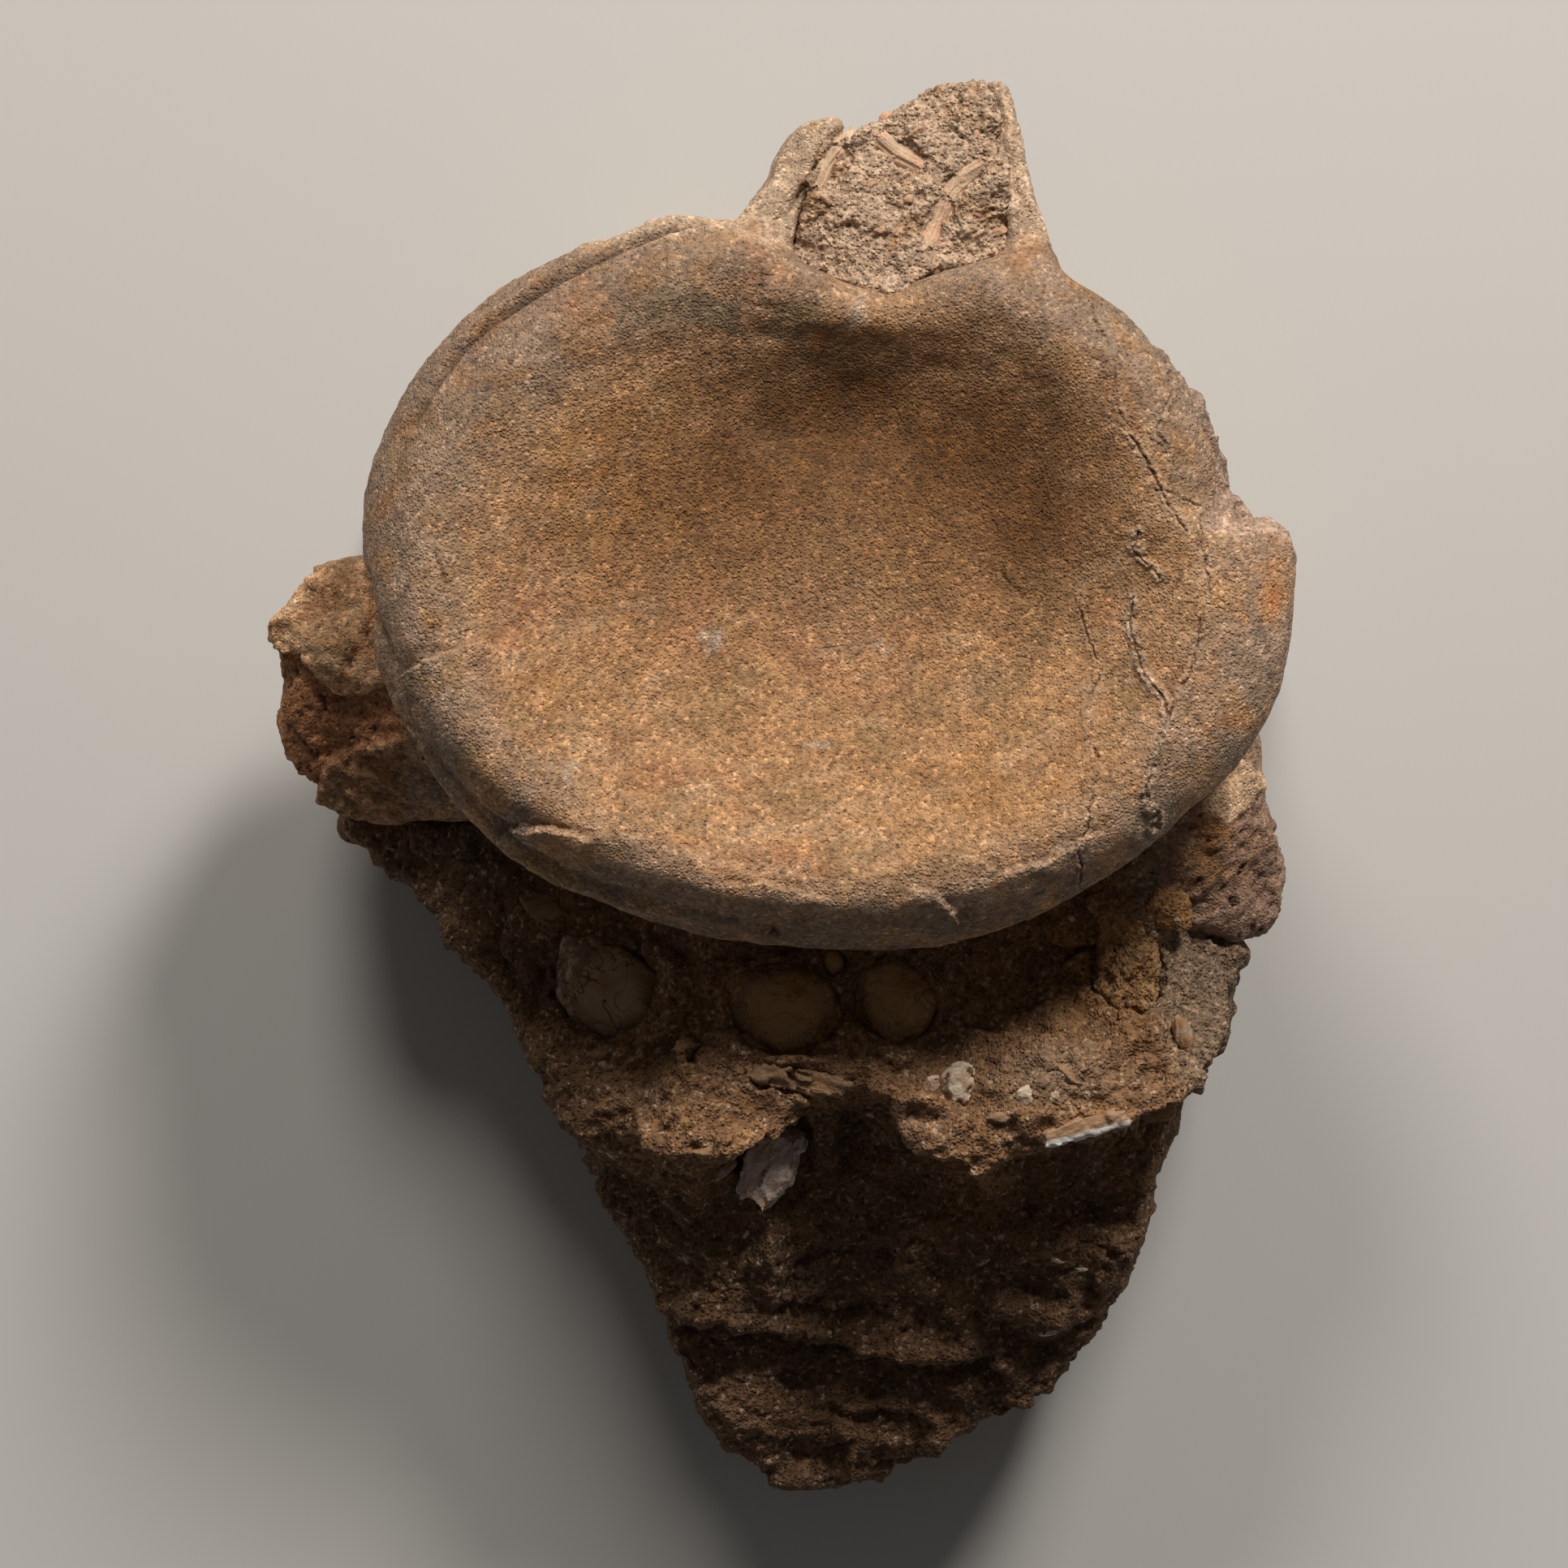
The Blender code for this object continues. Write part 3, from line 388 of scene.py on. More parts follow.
def halved(piece, zone):
    """Cuts the cells in half, both ways, where zone(places, looks) holds."""
    wanted = zone(*surface(piece))
    bm = bmesh.new()
    bm.from_mesh(piece.data)
    faces = [face for face in bm.faces if any(wanted[vert.index] for vert in face.verts)]
    edges = list({edge for face in faces for edge in face.edges})
    bmesh.ops.subdivide_edges(bm, edges=edges, cuts=1, use_grid_fill=True)
    bm.to_mesh(piece.data)
    bm.free()


def shifted(piece, shifts):
    """Moves each point by its shift in millimetres, and keeps it inside the CAD's box."""
    places, _ = surface(piece)
    low, high = (np.array(corner) / MM for corner in CAD_BOX)
    moved = np.clip(places + shifts, low + MARGIN, high - MARGIN)
    piece.data.vertices.foreach_set("co", (moved * MM).ravel())
    piece.data.update()


def marked(piece, **marks):
    """Keeps each mark, one number for each point, as an attribute that a material reads."""
    for name, values in marks.items():
        attribute = piece.data.attributes.new(name, "FLOAT", "POINT")
        attribute.data.foreach_set("value", np.clip(values, 0.0, 1.0).astype(np.float32))


def hollowness(piece, rounds):
    """How deep each point lies below the ones around it, a few cells wide, in millimetres."""
    places, looks = surface(piece)
    ends = np.empty(len(piece.data.edges) * 2, np.int32)
    piece.data.edges.foreach_get("vertices", ends)
    a, b = ends.reshape(-1, 2).T
    here, there = np.concatenate([a, b]), np.concatenate([b, a])
    count = np.maximum(np.bincount(here, minlength=len(places)), 1)
    around = places
    for _ in range(rounds):
        sums = [np.bincount(here, around[there, k], len(places)) for k in range(3)]
        around = np.stack(sums, 1) / count[:, None]
    return ((around - places) * looks).sum(1)


def search_tree(piece):
    """A search tree of the piece's surface, in millimetres."""
    places, _ = surface(piece)
    faces = [face.vertices[:] for face in piece.data.polygons]
    return BVHTree.FromPolygons(places.tolist(), faces)


def met(piece, other, reach):
    """Lets the piece's surface run on into the other's wherever the two nearly touch."""
    places, looks = surface(piece)
    tree = search_tree(other)
    gaps = np.array([tree.find_nearest(Vector(p), 3.0 * reach)[3] or 3.0 * reach for p in places])
    shifted(piece, looks * (1.2 * reach * bell(gaps / reach))[:, None])


def settled(piece, node, slot, finish):
    """Gives the finished piece its material and body, and has it stand for its CAD node, if any."""
    piece.data.materials.clear()
    piece.data.materials.append(finish)
    piece.data.shade_smooth()
    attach(piece, "root")
    if node:
        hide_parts(node)


class Finish:
    """A matte material whose colour is laid on in layers over its piece's own coordinates."""

    def __init__(self, name, color, roughness):
        self.material = bpy.data.materials.new(name)
        self.material.use_nodes = True
        self.tree = self.material.node_tree
        self.shader = self.tree.nodes["Principled BSDF"]
        self.shader.inputs["Roughness"].default_value = roughness
        self.place = self.node("ShaderNodeTexCoord", "Object")
        self.color = self.node("ShaderNodeRGB", "Color")
        self.color.default_value = (*color, 1.0)
        self.normal = None

    def node(self, kind, output, inputs=None, **settings):
        """Adds a node, sets or links its inputs, and returns that output."""
        made = self.tree.nodes.new(kind)
        for key, value in settings.items():
            setattr(made, key, value)
        for key, value in (inputs or {}).items():
            if isinstance(value, bpy.types.NodeSocket):
                self.tree.links.new(value, made.inputs[key])
            else:
                made.inputs[key].default_value = value
        return made.outputs[output]

    def mapped(self, stretch=(1.0, 1.0, 1.0), turn_deg=0.0, shift=(0.0, 0.0, 0.0)):
        """The piece's coordinates turned, and drawn out by stretch along their new axes."""
        inputs = {"Vector": self.place, "Scale": stretch, "Location": shift}
        inputs["Rotation"] = (0.0, 0.0, math.radians(turn_deg))
        return self.node("ShaderNodeMapping", "Vector", inputs, vector_type="TEXTURE")

    def noise(self, size, detail=2.0, place=None, bend=0.0):
        """Soft noise in lumps of about size millimetres."""
        inputs = {"Vector": place or self.place, "Scale": 1.0 / (size * MM), "Detail": detail}
        inputs["Distortion"] = bend
        return self.node("ShaderNodeTexNoise", "Fac", inputs)

    def grains(self, size, output="Distance"):
        """Cells of about size millimetres."""
        inputs = {"Vector": self.place, "Scale": 1.0 / (size * MM)}
        return self.node("ShaderNodeTexVoronoi", output, inputs)

    def tones(self, size):
        """A tone from 0 to 1 for each grain of about size millimetres."""
        return self.node("ShaderNodeSeparateColor", 0, {"Color": self.grains(size, "Color")})

    def mark(self, name):
        """The piece's mark of that name, or 0 where it has none."""
        return self.node("ShaderNodeAttribute", "Fac", attribute_name=name)

    def rise(self, value, low, high):
        """Eases from 0 to 1 as the value goes from low to high, or back where high is lower."""
        inputs = {"Value": value, "From Min": min(low, high), "From Max": max(low, high)}
        inputs["To Min"], inputs["To Max"] = (1.0, 0.0) if low > high else (0.0, 1.0)
        return self.node("ShaderNodeMapRange", "Result", inputs, interpolation_type="SMOOTHSTEP")

    def math(self, operation, a, b=0.0):
        return self.node("ShaderNodeMath", "Value", {0: a, 1: b}, operation=operation)

    def both(self, a, b):
        """Their product: 1 only where both are 1."""
        return self.math("MULTIPLY", a, b)

    def lay(self, color, amount, strength=1.0, blend="MIX"):
        """Lays a colour over the one so far, as much as amount says at each place."""
        value = color if isinstance(color, bpy.types.NodeSocket) else (*color, 1.0)
        inputs = {0: self.both(amount, strength), 6: self.color, 7: value}
        self.color = self.node("ShaderNodeMix", 2, inputs, data_type="RGBA", blend_type=blend)

    def patch(self, color, mark, cloud, low, high, strength=1.0):
        """Lays a colour over the piece's mark of that name, broken up by a cloud."""
        self.lay(color, self.both(self.mark(mark), self.rise(cloud, low, high)), strength)

    def shade(self, value, low, high):
        """Multiplies the colour by low where the value is 0, up to high where it is 1."""
        inputs = {"Value": value, "To Min": low, "To Max": high}
        factor = self.node("ShaderNodeMapRange", "Result", inputs)
        grey = self.node("ShaderNodeCombineColor", "Color", {0: factor, 1: factor, 2: factor})
        self.lay(grey, 1.0, blend="MULTIPLY")

    def relief(self, height, depth):
        """Fine relief of that depth in millimetres, where height goes from 0 to 1."""
        inputs = {"Height": height, "Distance": depth * MM, "Strength": 1.0}
        if self.normal:
            inputs["Normal"] = self.normal
        self.normal = self.node("ShaderNodeBump", "Normal", inputs)

    def done(self):
        """Links the colour and the relief to the shader, and returns the material."""
        self.tree.links.new(self.color, self.shader.inputs["Base Color"])
        if self.normal:
            self.tree.links.new(self.normal, self.shader.inputs["Normal"])
        return self.material


def length(name, description, millimetres):
    """A property for a size, with its default given in millimetres."""
    return FloatProperty(
        name=name, description=description, default=millimetres * MM, min=0.0, precision=5,
        unit="LENGTH",
    )


def color(name, description, default):
    """A property for a colour."""
    return FloatVectorProperty(
        name=name, description=description, default=default, min=0.0, max=1.0, subtype="COLOR"
    )


class FossilBone(bpy.types.PropertyGroup):
    """The vertebra's sizes and colours"""

    cell: length("Cell", "Size of the surface's cells where it is plain", 0.92)
    waves: length("Waves", "Height of the joint face's slow waves", 0.16)
    grain: length("Grain", "Height of the bone's fine grain", 0.09)
    sponge: length("Sponge", "Depth of the pores of broken bone", 0.55)
    ochre: color("Ochre", "The bone's main colour", (0.425, 0.222, 0.095))
    # Brown: a brown stain in the bowl's middle, laid darker on its upper half as painted shade too.
    tan: color("Tan", "Light patches", (0.53, 0.335, 0.19))
    brown: color("Brown", "The darker middle of the bowl", (0.20, 0.088, 0.027))
    # Deep: a deep brown stain in the hollows, darkened further as painted shade under the notch's
    # wall.
    deep: color("Deep", "The rich brown of the hollows", (0.125, 0.050, 0.009))
    olive: color("Olive", "Faint olive mottling", (0.26, 0.155, 0.065))
    red: color("Red", "Faint reddish mottling", (0.36, 0.160, 0.072))
    grey: color("Grey", "The worn lip", (0.38, 0.26, 0.18))
    lilac: color("Lilac", "Bruised patches of the lip", (0.255, 0.175, 0.125))
    green: color("Green", "Faint green-grey tints at the upper left", (0.17, 0.125, 0.07))
    orange: color("Orange", "The rust spot on the right lip", (0.55, 0.20, 0.06))
    chalk: color("Chalk", "Crumbs of chalky sediment", (0.44, 0.315, 0.215))
    cream: color("Cream", "The laminae of the arch", (0.50, 0.355, 0.24))
    pink: color("Pink", "The broken rim at the right", (0.46, 0.31, 0.22))
    purple: color("Purple", "The spongy stump of the right rib", (0.33, 0.20, 0.135))
    fibre: color("Fibre", "The orange, fibrous part of the right rib", (0.42, 0.19, 0.05))
    skin: color("Skin", "The cream fragment of bone on the right rib", (0.84, 0.55, 0.33))
    yellow: color("Yellow", "The skin of the left rib", (0.70, 0.395, 0.20))
    moss: color("Moss", "Grey-green patches of the left rib", (0.40, 0.32, 0.18))
    rust: color("Rust", "The inside of the left rib", (0.46, 0.205, 0.088))
    # The dark sand in cracks and pores, also laid as painted shade in the bone's hollows, cracks and
    # grooves.
    dirt: color("Dirt", "Sand in cracks and pores", (0.09, 0.05, 0.025))


class FossilRock(bpy.types.PropertyGroup):
    """The matrix's sizes and colours"""

    cell: length("Cell", "Size of the matrix's cells where it is hidden", 0.74)
    canal_cell: length("Canal cell", "Size of the canal rock's cells where it is hidden", 0.38)
    crags: length("Crags", "Height of the broken rock's planes", 0.85)
    grain: length("Grain", "Height of the sand's grains", 0.16)
    brown: color("Brown", "The rock's main colour", (0.225, 0.112, 0.048))
    ochre: color("Ochre", "Iron-stained rock", (0.30, 0.150, 0.055))
    grey: color("Grey", "Pale, leached rock", (0.26, 0.18, 0.115))
    sand: color("Sand", "The canal's rock", (0.50, 0.34, 0.225))
    glint: color("Glint", "Bright grains of sand", (0.52, 0.40, 0.28))
    # Dark serves the pores, the rock lower down, and painted shade in the hollows and under the lip
    # at the left.
    dark: color("Dark", "Deep pores between the grains", (0.05, 0.025, 0.011))


class FossilNodules(bpy.types.PropertyGroup):
    """The nodules' sizes and colours"""

    cell: length("Cell", "Size of the nodules' cells", 0.28)
    dents: length("Dents", "Depth of the nodules' soft dents", 0.18)
    sink: FloatProperty(
        name="Sink", description="Share of a nodule's height that the rock has swallowed",
        default=0.26, min=0.0, max=1.0,
    )
    grey: color("Grey", "The left nodule", (0.37, 0.235, 0.13))
    amber: color("Amber", "The middle and right nodules", (0.36, 0.175, 0.045))
    clouds: color("Clouds", "Rusty clouds in the nodules", (0.30, 0.135, 0.04))
    specks: color("Specks", "Pits and root-like lines", (0.035, 0.02, 0.01))
    dust: color("Dust", "Sand that clings to the nodules' edges", (0.17, 0.09, 0.04))


class FossilChips(bpy.types.PropertyGroup):
    """The sizes and colours of the bits of bone and shell in the rock"""

    cell: length("Cell", "Size of the bits' cells", 0.22)
    thickness: length("Thickness", "Thickness of a splinter of bone", 0.9)
    ochre: color("Ochre", "Ochre broken bone", (0.36, 0.195, 0.08))
    orange: color("Orange", "Orange slabs of bone under the lip", (0.33, 0.165, 0.055))
    shell: color("Shell", "Chalky shell", (0.60, 0.49, 0.36))
    blue: color("Blue", "The broken edge of the shell", (0.60, 0.58, 0.56))
    crust: color("Crust", "The orange-brown crust on the shell", (0.33, 0.175, 0.08))
    splinter: color("Splinter", "Pale, fibrous splinters", (0.56, 0.39, 0.25))
    pink: color("Pink", "Pink tints of the pale splinters", (0.60, 0.33, 0.20))
    rust: color("Rust", "Rusty stains on the bits of bone", (0.32, 0.14, 0.04))
    seed: color("Seed", "The small oval fragment", (0.34, 0.23, 0.14))
    crumbs: color("Crumbs", "Crumbs of bone in the rock", (0.27, 0.165, 0.09))
    canal_crumbs: color("Canal crumbs", "Crumbs of bone in the canal", (0.55, 0.33, 0.20))
    layers: color("Layers", "Brown layered bone", (0.215, 0.12, 0.062))
    # Dark: the purple-grey bone of the dark splinter and crumbs, made paler as painted light where
    # the ledge shades them.
    dark: color("Dark", "Purple-grey bone", (0.56, 0.42, 0.36))


class FossilStage(bpy.types.PropertyGroup):
    """The floor, the lights and the camera"""

    floor_width: length("Floor width", "Width of the plain floor", 4000.0)
    floor_color: color("Floor colour", "The floor's pale colour", (0.60, 0.585, 0.56))
    key_distance: length("Key distance", "From the fossil to the key light", 1100.0)
    key_size: length("Key size", "Width of the key light's soft box", 300.0)
    camera_distance: length("Camera distance", "From the joint face's lip to the camera", 676.0)
    camera_lens: FloatProperty(
        name="Camera lens", description="Focal length", default=150.0, unit="CAMERA"
    )


def face_spots(places):
    """Each place's x and y on the joint face, from the bowl's middle and in shares of its oval."""
    return (places[:, :2] - FACE_CENTRE) / FACE_OVAL


def face_reach(places):
    """How far out on the joint face each place is: 0 at the bowl's middle and 1 at the lip."""
    return np.maximum(np.hypot(*face_spots(places).T), 0.01)


def ringed(places):
    """The places laid out by turn and reach on the joint face, so that lumps there run round it."""
    reach = face_reach(places)
    x, y = face_spots(places).T / reach
    return np.stack([12.0 * x, 12.0 * y, 42.0 * reach], 1)


def in_patch(places, patch):
    """1 in the middle of a patch, given as its middle and half axes, falling away outside it."""
    (mid_x, mid_y), (half_x, half_y) = patch
    return bell((places[:, 0] - mid_x) / half_x) * bell((places[:, 1] - mid_y) / half_y)


def patched(places, patches):
    """1 in the middle of any of the patches, falling away outside them."""
    return np.maximum.reduce([in_patch(places, patch) for patch in patches])


def step_beside(off, side, depth, foot, fade):
    """A step where side is above 0, of that depth beside its line and fading away from it."""
    return np.where(side > 0, depth * ease(off / foot) * np.exp(-off / fade), 0.0)


def bone_zones(places, looks):
    """Where each kind of bone is, from 0 to 1 at each place."""
    x, y, z = places.T
    ragged = jittered(places, 2.2, 0.5, 3.0)
    step, above = off_line(ragged, RIB_STEP)
    block, over = off_line(ragged, RIB_BLOCK)
    gone, outside = off_line(ragged, LIP_BREAK)
    left_rib = ease((-38.5 - x) / 2.5) * ease((26.0 - y) / 3.0) * ease((49.0 - z) / 2.0)
    inner = left_rib * np.where(above > 0, 0.0, ease(step / 0.4))
    inner *= np.where(over > 0, 1.0, ease(1.0 - block / 0.6))
    right_rib = ease((x - 39.0) / 3.0) * ease((3.0 - y) / 3.0) * ease((50.5 - z) / 2.0)
    slant = (ragged[:, 0] + ragged[:, 1] - 49.6, ragged[:, 0] - ragged[:, 1] - 48.4)
    cream = np.maximum(np.abs(slant[0]) / 4.6, np.abs(slant[1]) / 2.9)
    cream = ease((1.05 - cream) / 0.1) * ease((46.0 - z) / 1.5) * ease((z - 34.0) / 2.0)
    arch = ease((y - 56.5) / 2.0) * ease((57.0 - z) / 1.5)
    lost = np.where(outside > 0, ease(gone / 0.3), 0.0) * ease((z - 30.0) / 10.0)
    lost *= ease((x - 36.0) / 4.0) * ease((y - 27.0) / 1.5)
    notch = ease((looks[:, 1] - 0.25) / 0.2) * ease((x - 44.0) / 1.0) * bell((y - 28.6) / 1.5)
    lost = np.maximum(lost, notch * ease((z - 40.0) / 3.0))
    flank = ease((51.5 - z) / 2.5) * (1.0 - left_rib) * (1.0 - right_rib) * (1.0 - arch)
    return {
        "left_rib": left_rib,
        "inner": inner,
        "block": left_rib * np.where(over > 0, 0.0, ease(block / 0.4)),
        "right_rib": right_rib * (1.0 - cream),
        "cream": cream,
        "skin": left_rib * (1.0 - inner) * np.where(over > 0, 1.0, 0.0),
        "arch": arch,
        "lost": lost,
        "flank": flank,
    }


def rag(places):
    """The places moved a little, as the joint face's cracks and edges wander."""
    return jittered(jittered(places, 2.4, 0.45, 7.0), 0.7, 0.18, 4.0)


def near_any(places, looks, lines, reach):
    """Whether each place on the upper side is within reach of any of the lines."""
    near = np.full(len(places), False)
    up = np.nonzero((looks[:, 2] > -0.1) & (places[:, 2] > 34.0))[0]
    ragged = rag(places[up])
    for line in lines:
        near[up] |= off_line(ragged, line)[0] < reach
    return near


def fine_lines():
    """The lines of the cracks and of the lost flakes' edges."""
    return [crack[0] for crack in CRACKS] + [flake[0] for flake in FLAKES]


def broken_parts(places, looks):
    """The stumps of the ribs and the arch, and the lost part of the lip with its sharp corner."""
    zones = bone_zones(places, looks)
    parts = [zones[name] for name in ("left_rib", "right_rib", "cream", "arch", "lost")]
    corner = (off_line(places, NOTCH_EDGE)[0] < 1.2) & (places[:, 2] > 44.0)
    return (np.maximum.reduce(parts) > 0.5) | corner


def worn_parts(places, looks):
    """The old surface of the bone, which is worn smooth."""
    return ~broken_parts(places, looks)


def laminae(places, looks):
    """The two laminae of the arch."""
    return bone_zones(places, looks)["arch"] > 0.5


def fine_parts(places, looks):
    """Everything on the upper side that is broken or has a crack, a step or a ridge."""
    lines = [*fine_lines(), LIP_GROOVE, LOW_RIDGE]
    arch = places[:, 1] > 56.0
    broken = broken_parts(places, looks) & (looks[:, 2] > 0.3 * arch) & (places[:, 2] > 24.0)
    return broken | near_any(places, looks, lines, 1.3)


def finest_parts(places, looks):
    """The cracks and the lost flakes' edges on the joint face."""
    return near_any(places, looks, fine_lines(), 0.6) & (places[:, 2] > FACE_HEIGHT)


def crack_floors(places, looks):
    """The long cracks at the right."""
    lines = [crack[0] for crack in CRACKS[:7]]
    return near_any(places, looks, lines, 0.25) & (places[:, 2] > FACE_HEIGHT)


def add_stumps(rise, places, ragged, zones, sponge):
    """Adds the breaks, fibres and pores away from the joint face; returns their sand and painted
    shade.
    """
    broken = np.maximum.reduce([zones[k] for k in ("inner", "right_rib", "lost")])
    cut = jittered(places, 1.5, 0.35, 9.0)
    chunks = facets(cut, 4.4, 5.1, 0.06) + 0.40 * facets(cut, 1.4, 2.3, 0.08)
    fibres = lumps(combed(places, 24.0, 4.0), 0.8, 9.0, 2)
    rise += broken * (0.36 * chunks + 0.26 * fibres + 0.12 * lumps(places, 0.6, 3.9, 2))
    pores = ease((lumps(combed(places, 75.0, 2.5), 0.7, 4.4, 2) - 0.52) / 0.2)
    rise -= sponge * broken * pores
    angular = np.maximum(zones["left_rib"], zones["cream"]) * (1.0 - zones["inner"])
    plain = 1.0 - 0.7 * zones["cream"]
    planes = 0.75 * facets(cut, 6.5, 8.3, 0.03) + 0.24 * facets(cut, 2.4, 5.7, 0.05)
    rise += angular * plain * planes
    rise += 0.18 * angular * plain * lumps(combed(places, -48.0, 3.0), 0.8, 4.1, 2)
    rise += 0.45 * zones["block"] * lumps(combed(places, -14.0, 6.0), 1.0, 7.3, 2)
    strands = lumps(combed(places, 57.0, 8.0), 0.8, 2.8, 2)
    rise += zones["arch"] * (0.16 * strands + 0.22 * facets(cut, 6.0, 7.7, 0.05))
    for line in LAMINA_EDGES:
        off, _ = off_line(ragged, line)
        rise -= 0.9 * zones["arch"] * bell(off / 0.5)
    flank_pits = ease((lumps(places * (1.0, 1.0, 0.6), 1.2, 8.8, 2) - 0.12) / 0.35)
    flank_pits *= ease((lumps(places, 9.0, 3.2, 2) + 0.25) / 0.5)
    rise -= 0.24 * zones["flank"] * flank_pits
    rise += 0.5 * zones["flank"] * facets(cut, 11.0, 6.6, 0.05)
    return broken * pores * 0.8 + 0.45 * zones["flank"] * flank_pits


def add_cracks(rise, dirt, chalk, places, ragged, up):
    """Adds the joint face's cracks, with the sand and painted shade in them and the chalky crumbs
    beside them.
    """
    broken_up = ease((lumps(places, 3.5, 8.0, 2) + 0.35) / 0.4)
    crumbly = ease((lumps(places, 0.9, 3.6, 3) + 0.7) / 0.6)
    gritty = 1.0 + 0.5 * lumps(places, 0.45, 5.6, 2)
    for line, half_width, depth, crumble in CRACKS:
        off, _ = off_line(ragged, line)
        rise -= up * depth * broken_up * bell(off / half_width)
        beside = bell((off - 0.30) / 0.36) * crumbly
        rise += up * crumble * beside * gritty
        chalk += up * min(0.9, 4.0 * crumble) * beside
        dirt += up * (0.55 - 1.3 * crumble) * broken_up * bell(off / (1.1 * half_width))


def add_flakes(rise, dirt, places, ragged, up):
    """Adds the steps where a flake of the joint face is lost, with sand and painted shade at their
    foot.
    """
    x, y, _ = places.T
    for line, height, fade in FLAKES:
        off, side = off_line(ragged, line)
        tips = np.minimum(*(np.hypot(x - tip[0], y - tip[1]) for tip in (line[0], line[-1])))
        lost = up * height * ease(off / 0.2) * np.exp(-off / fade) * ease((tips + off) / 1.5)
        rise -= np.where(side > 0, lost, 0.0)
        rise += np.where(side < 0, up * 0.35 * height * bell(off / 1.4), 0.0)
        dirt += np.where(side > 0, up * 0.35 * bell((off - 0.2) / 0.2), 0.0)


def add_edges(rise, dirt, places, looks, ragged, left_rib):
    """Adds the lip's groove and ridge, the steps of the left rib and the break of the lip."""
    x, y, z = places.T
    off, _ = off_line(places, LIP_GROOVE)
    along = (0.3 + 0.7 * ease((y - 37.0) / 12.0)) * ease((z - 44.0) / 3.0) * ease(looks[:, 2] / 0.25)
    rise -= along * 1.1 * bell(off / 0.38)
    rise += along * 0.40 * bell((off - 0.9) / 0.45)
    dirt += along * 0.9 * bell(off / 0.42)
    off, side = off_line(places, LOW_RIDGE)
    below = ease((57.0 - z) / 3.0) * ease((z - 36.0) / 3.0)
    furrow = bell((off - 1.1) / 0.5)
    rise += below * 0.55 * bell(off / 0.40)
    rise -= below * np.where(side > 0, 0.75 * furrow, 0.0)
    dirt += below * np.where(side > 0, 0.6 * furrow, 0.0)
    off, side = off_line(ragged, RIB_STEP)
    rise -= left_rib * step_beside(off, -side, 1.5, 0.25, 3.5)
    off, side = off_line(ragged, RIB_BLOCK)
    rise += left_rib * step_beside(off, -side, 1.2, 0.3, 5.0)
    off, side = off_line(ragged, LIP_BREAK)
    edge = ease((x - 36.0) / 4.0) * ease((y - 27.5) / 1.0) * ease((z - FACE_HEIGHT) / 2.0)
    rise -= edge * step_beside(off, side, 1.5, 0.25, 4.0)


def bone_relief(bone, places, looks, zones):
    """How far each place stands out from the smooth bone, in millimetres, its sand and painted
    shade, and its chalk.
    """
    _, y, z = places.T
    up = ease(looks[:, 2] / 0.3) * ease((z - FACE_HEIGHT) / 2.0)
    ragged = rag(places)
    reach = face_reach(places)
    rise = bone.waves / MM * lumps(places, 10.0, 2.2)
    rise += 0.12 * lumps(places, 3.4, 6.4)
    rise += 0.16 * ease((reach - 0.35) / 0.3) * up * lumps(ringed(places), 2.2, 3.3)
    rise += bone.grain / MM * lumps(places, 1.0, 6.1, 2)
    for middle, half, height in DENTS:
        rise += up * height * in_patch(places, (middle, half))
    dirt = add_stumps(rise, places, ragged, zones, bone.sponge / MM)
    spots = patched(places, CHALK)
    chalk = up * ease((spots + 0.5 * lumps(places, 0.9, 1.9, 3) - 0.5) / 0.3)
    add_cracks(rise, dirt, chalk, places, ragged, up)
    add_flakes(rise, dirt, places, ragged, up)
    add_edges(rise, dirt, places, looks, ragged, zones["left_rib"])
    rise += 0.08 * chalk
    strokes = np.sin(y * math.tau / 0.62) * in_patch(places, STROKES)
    rise += up * 0.08 * strokes
    return rise, dirt, chalk


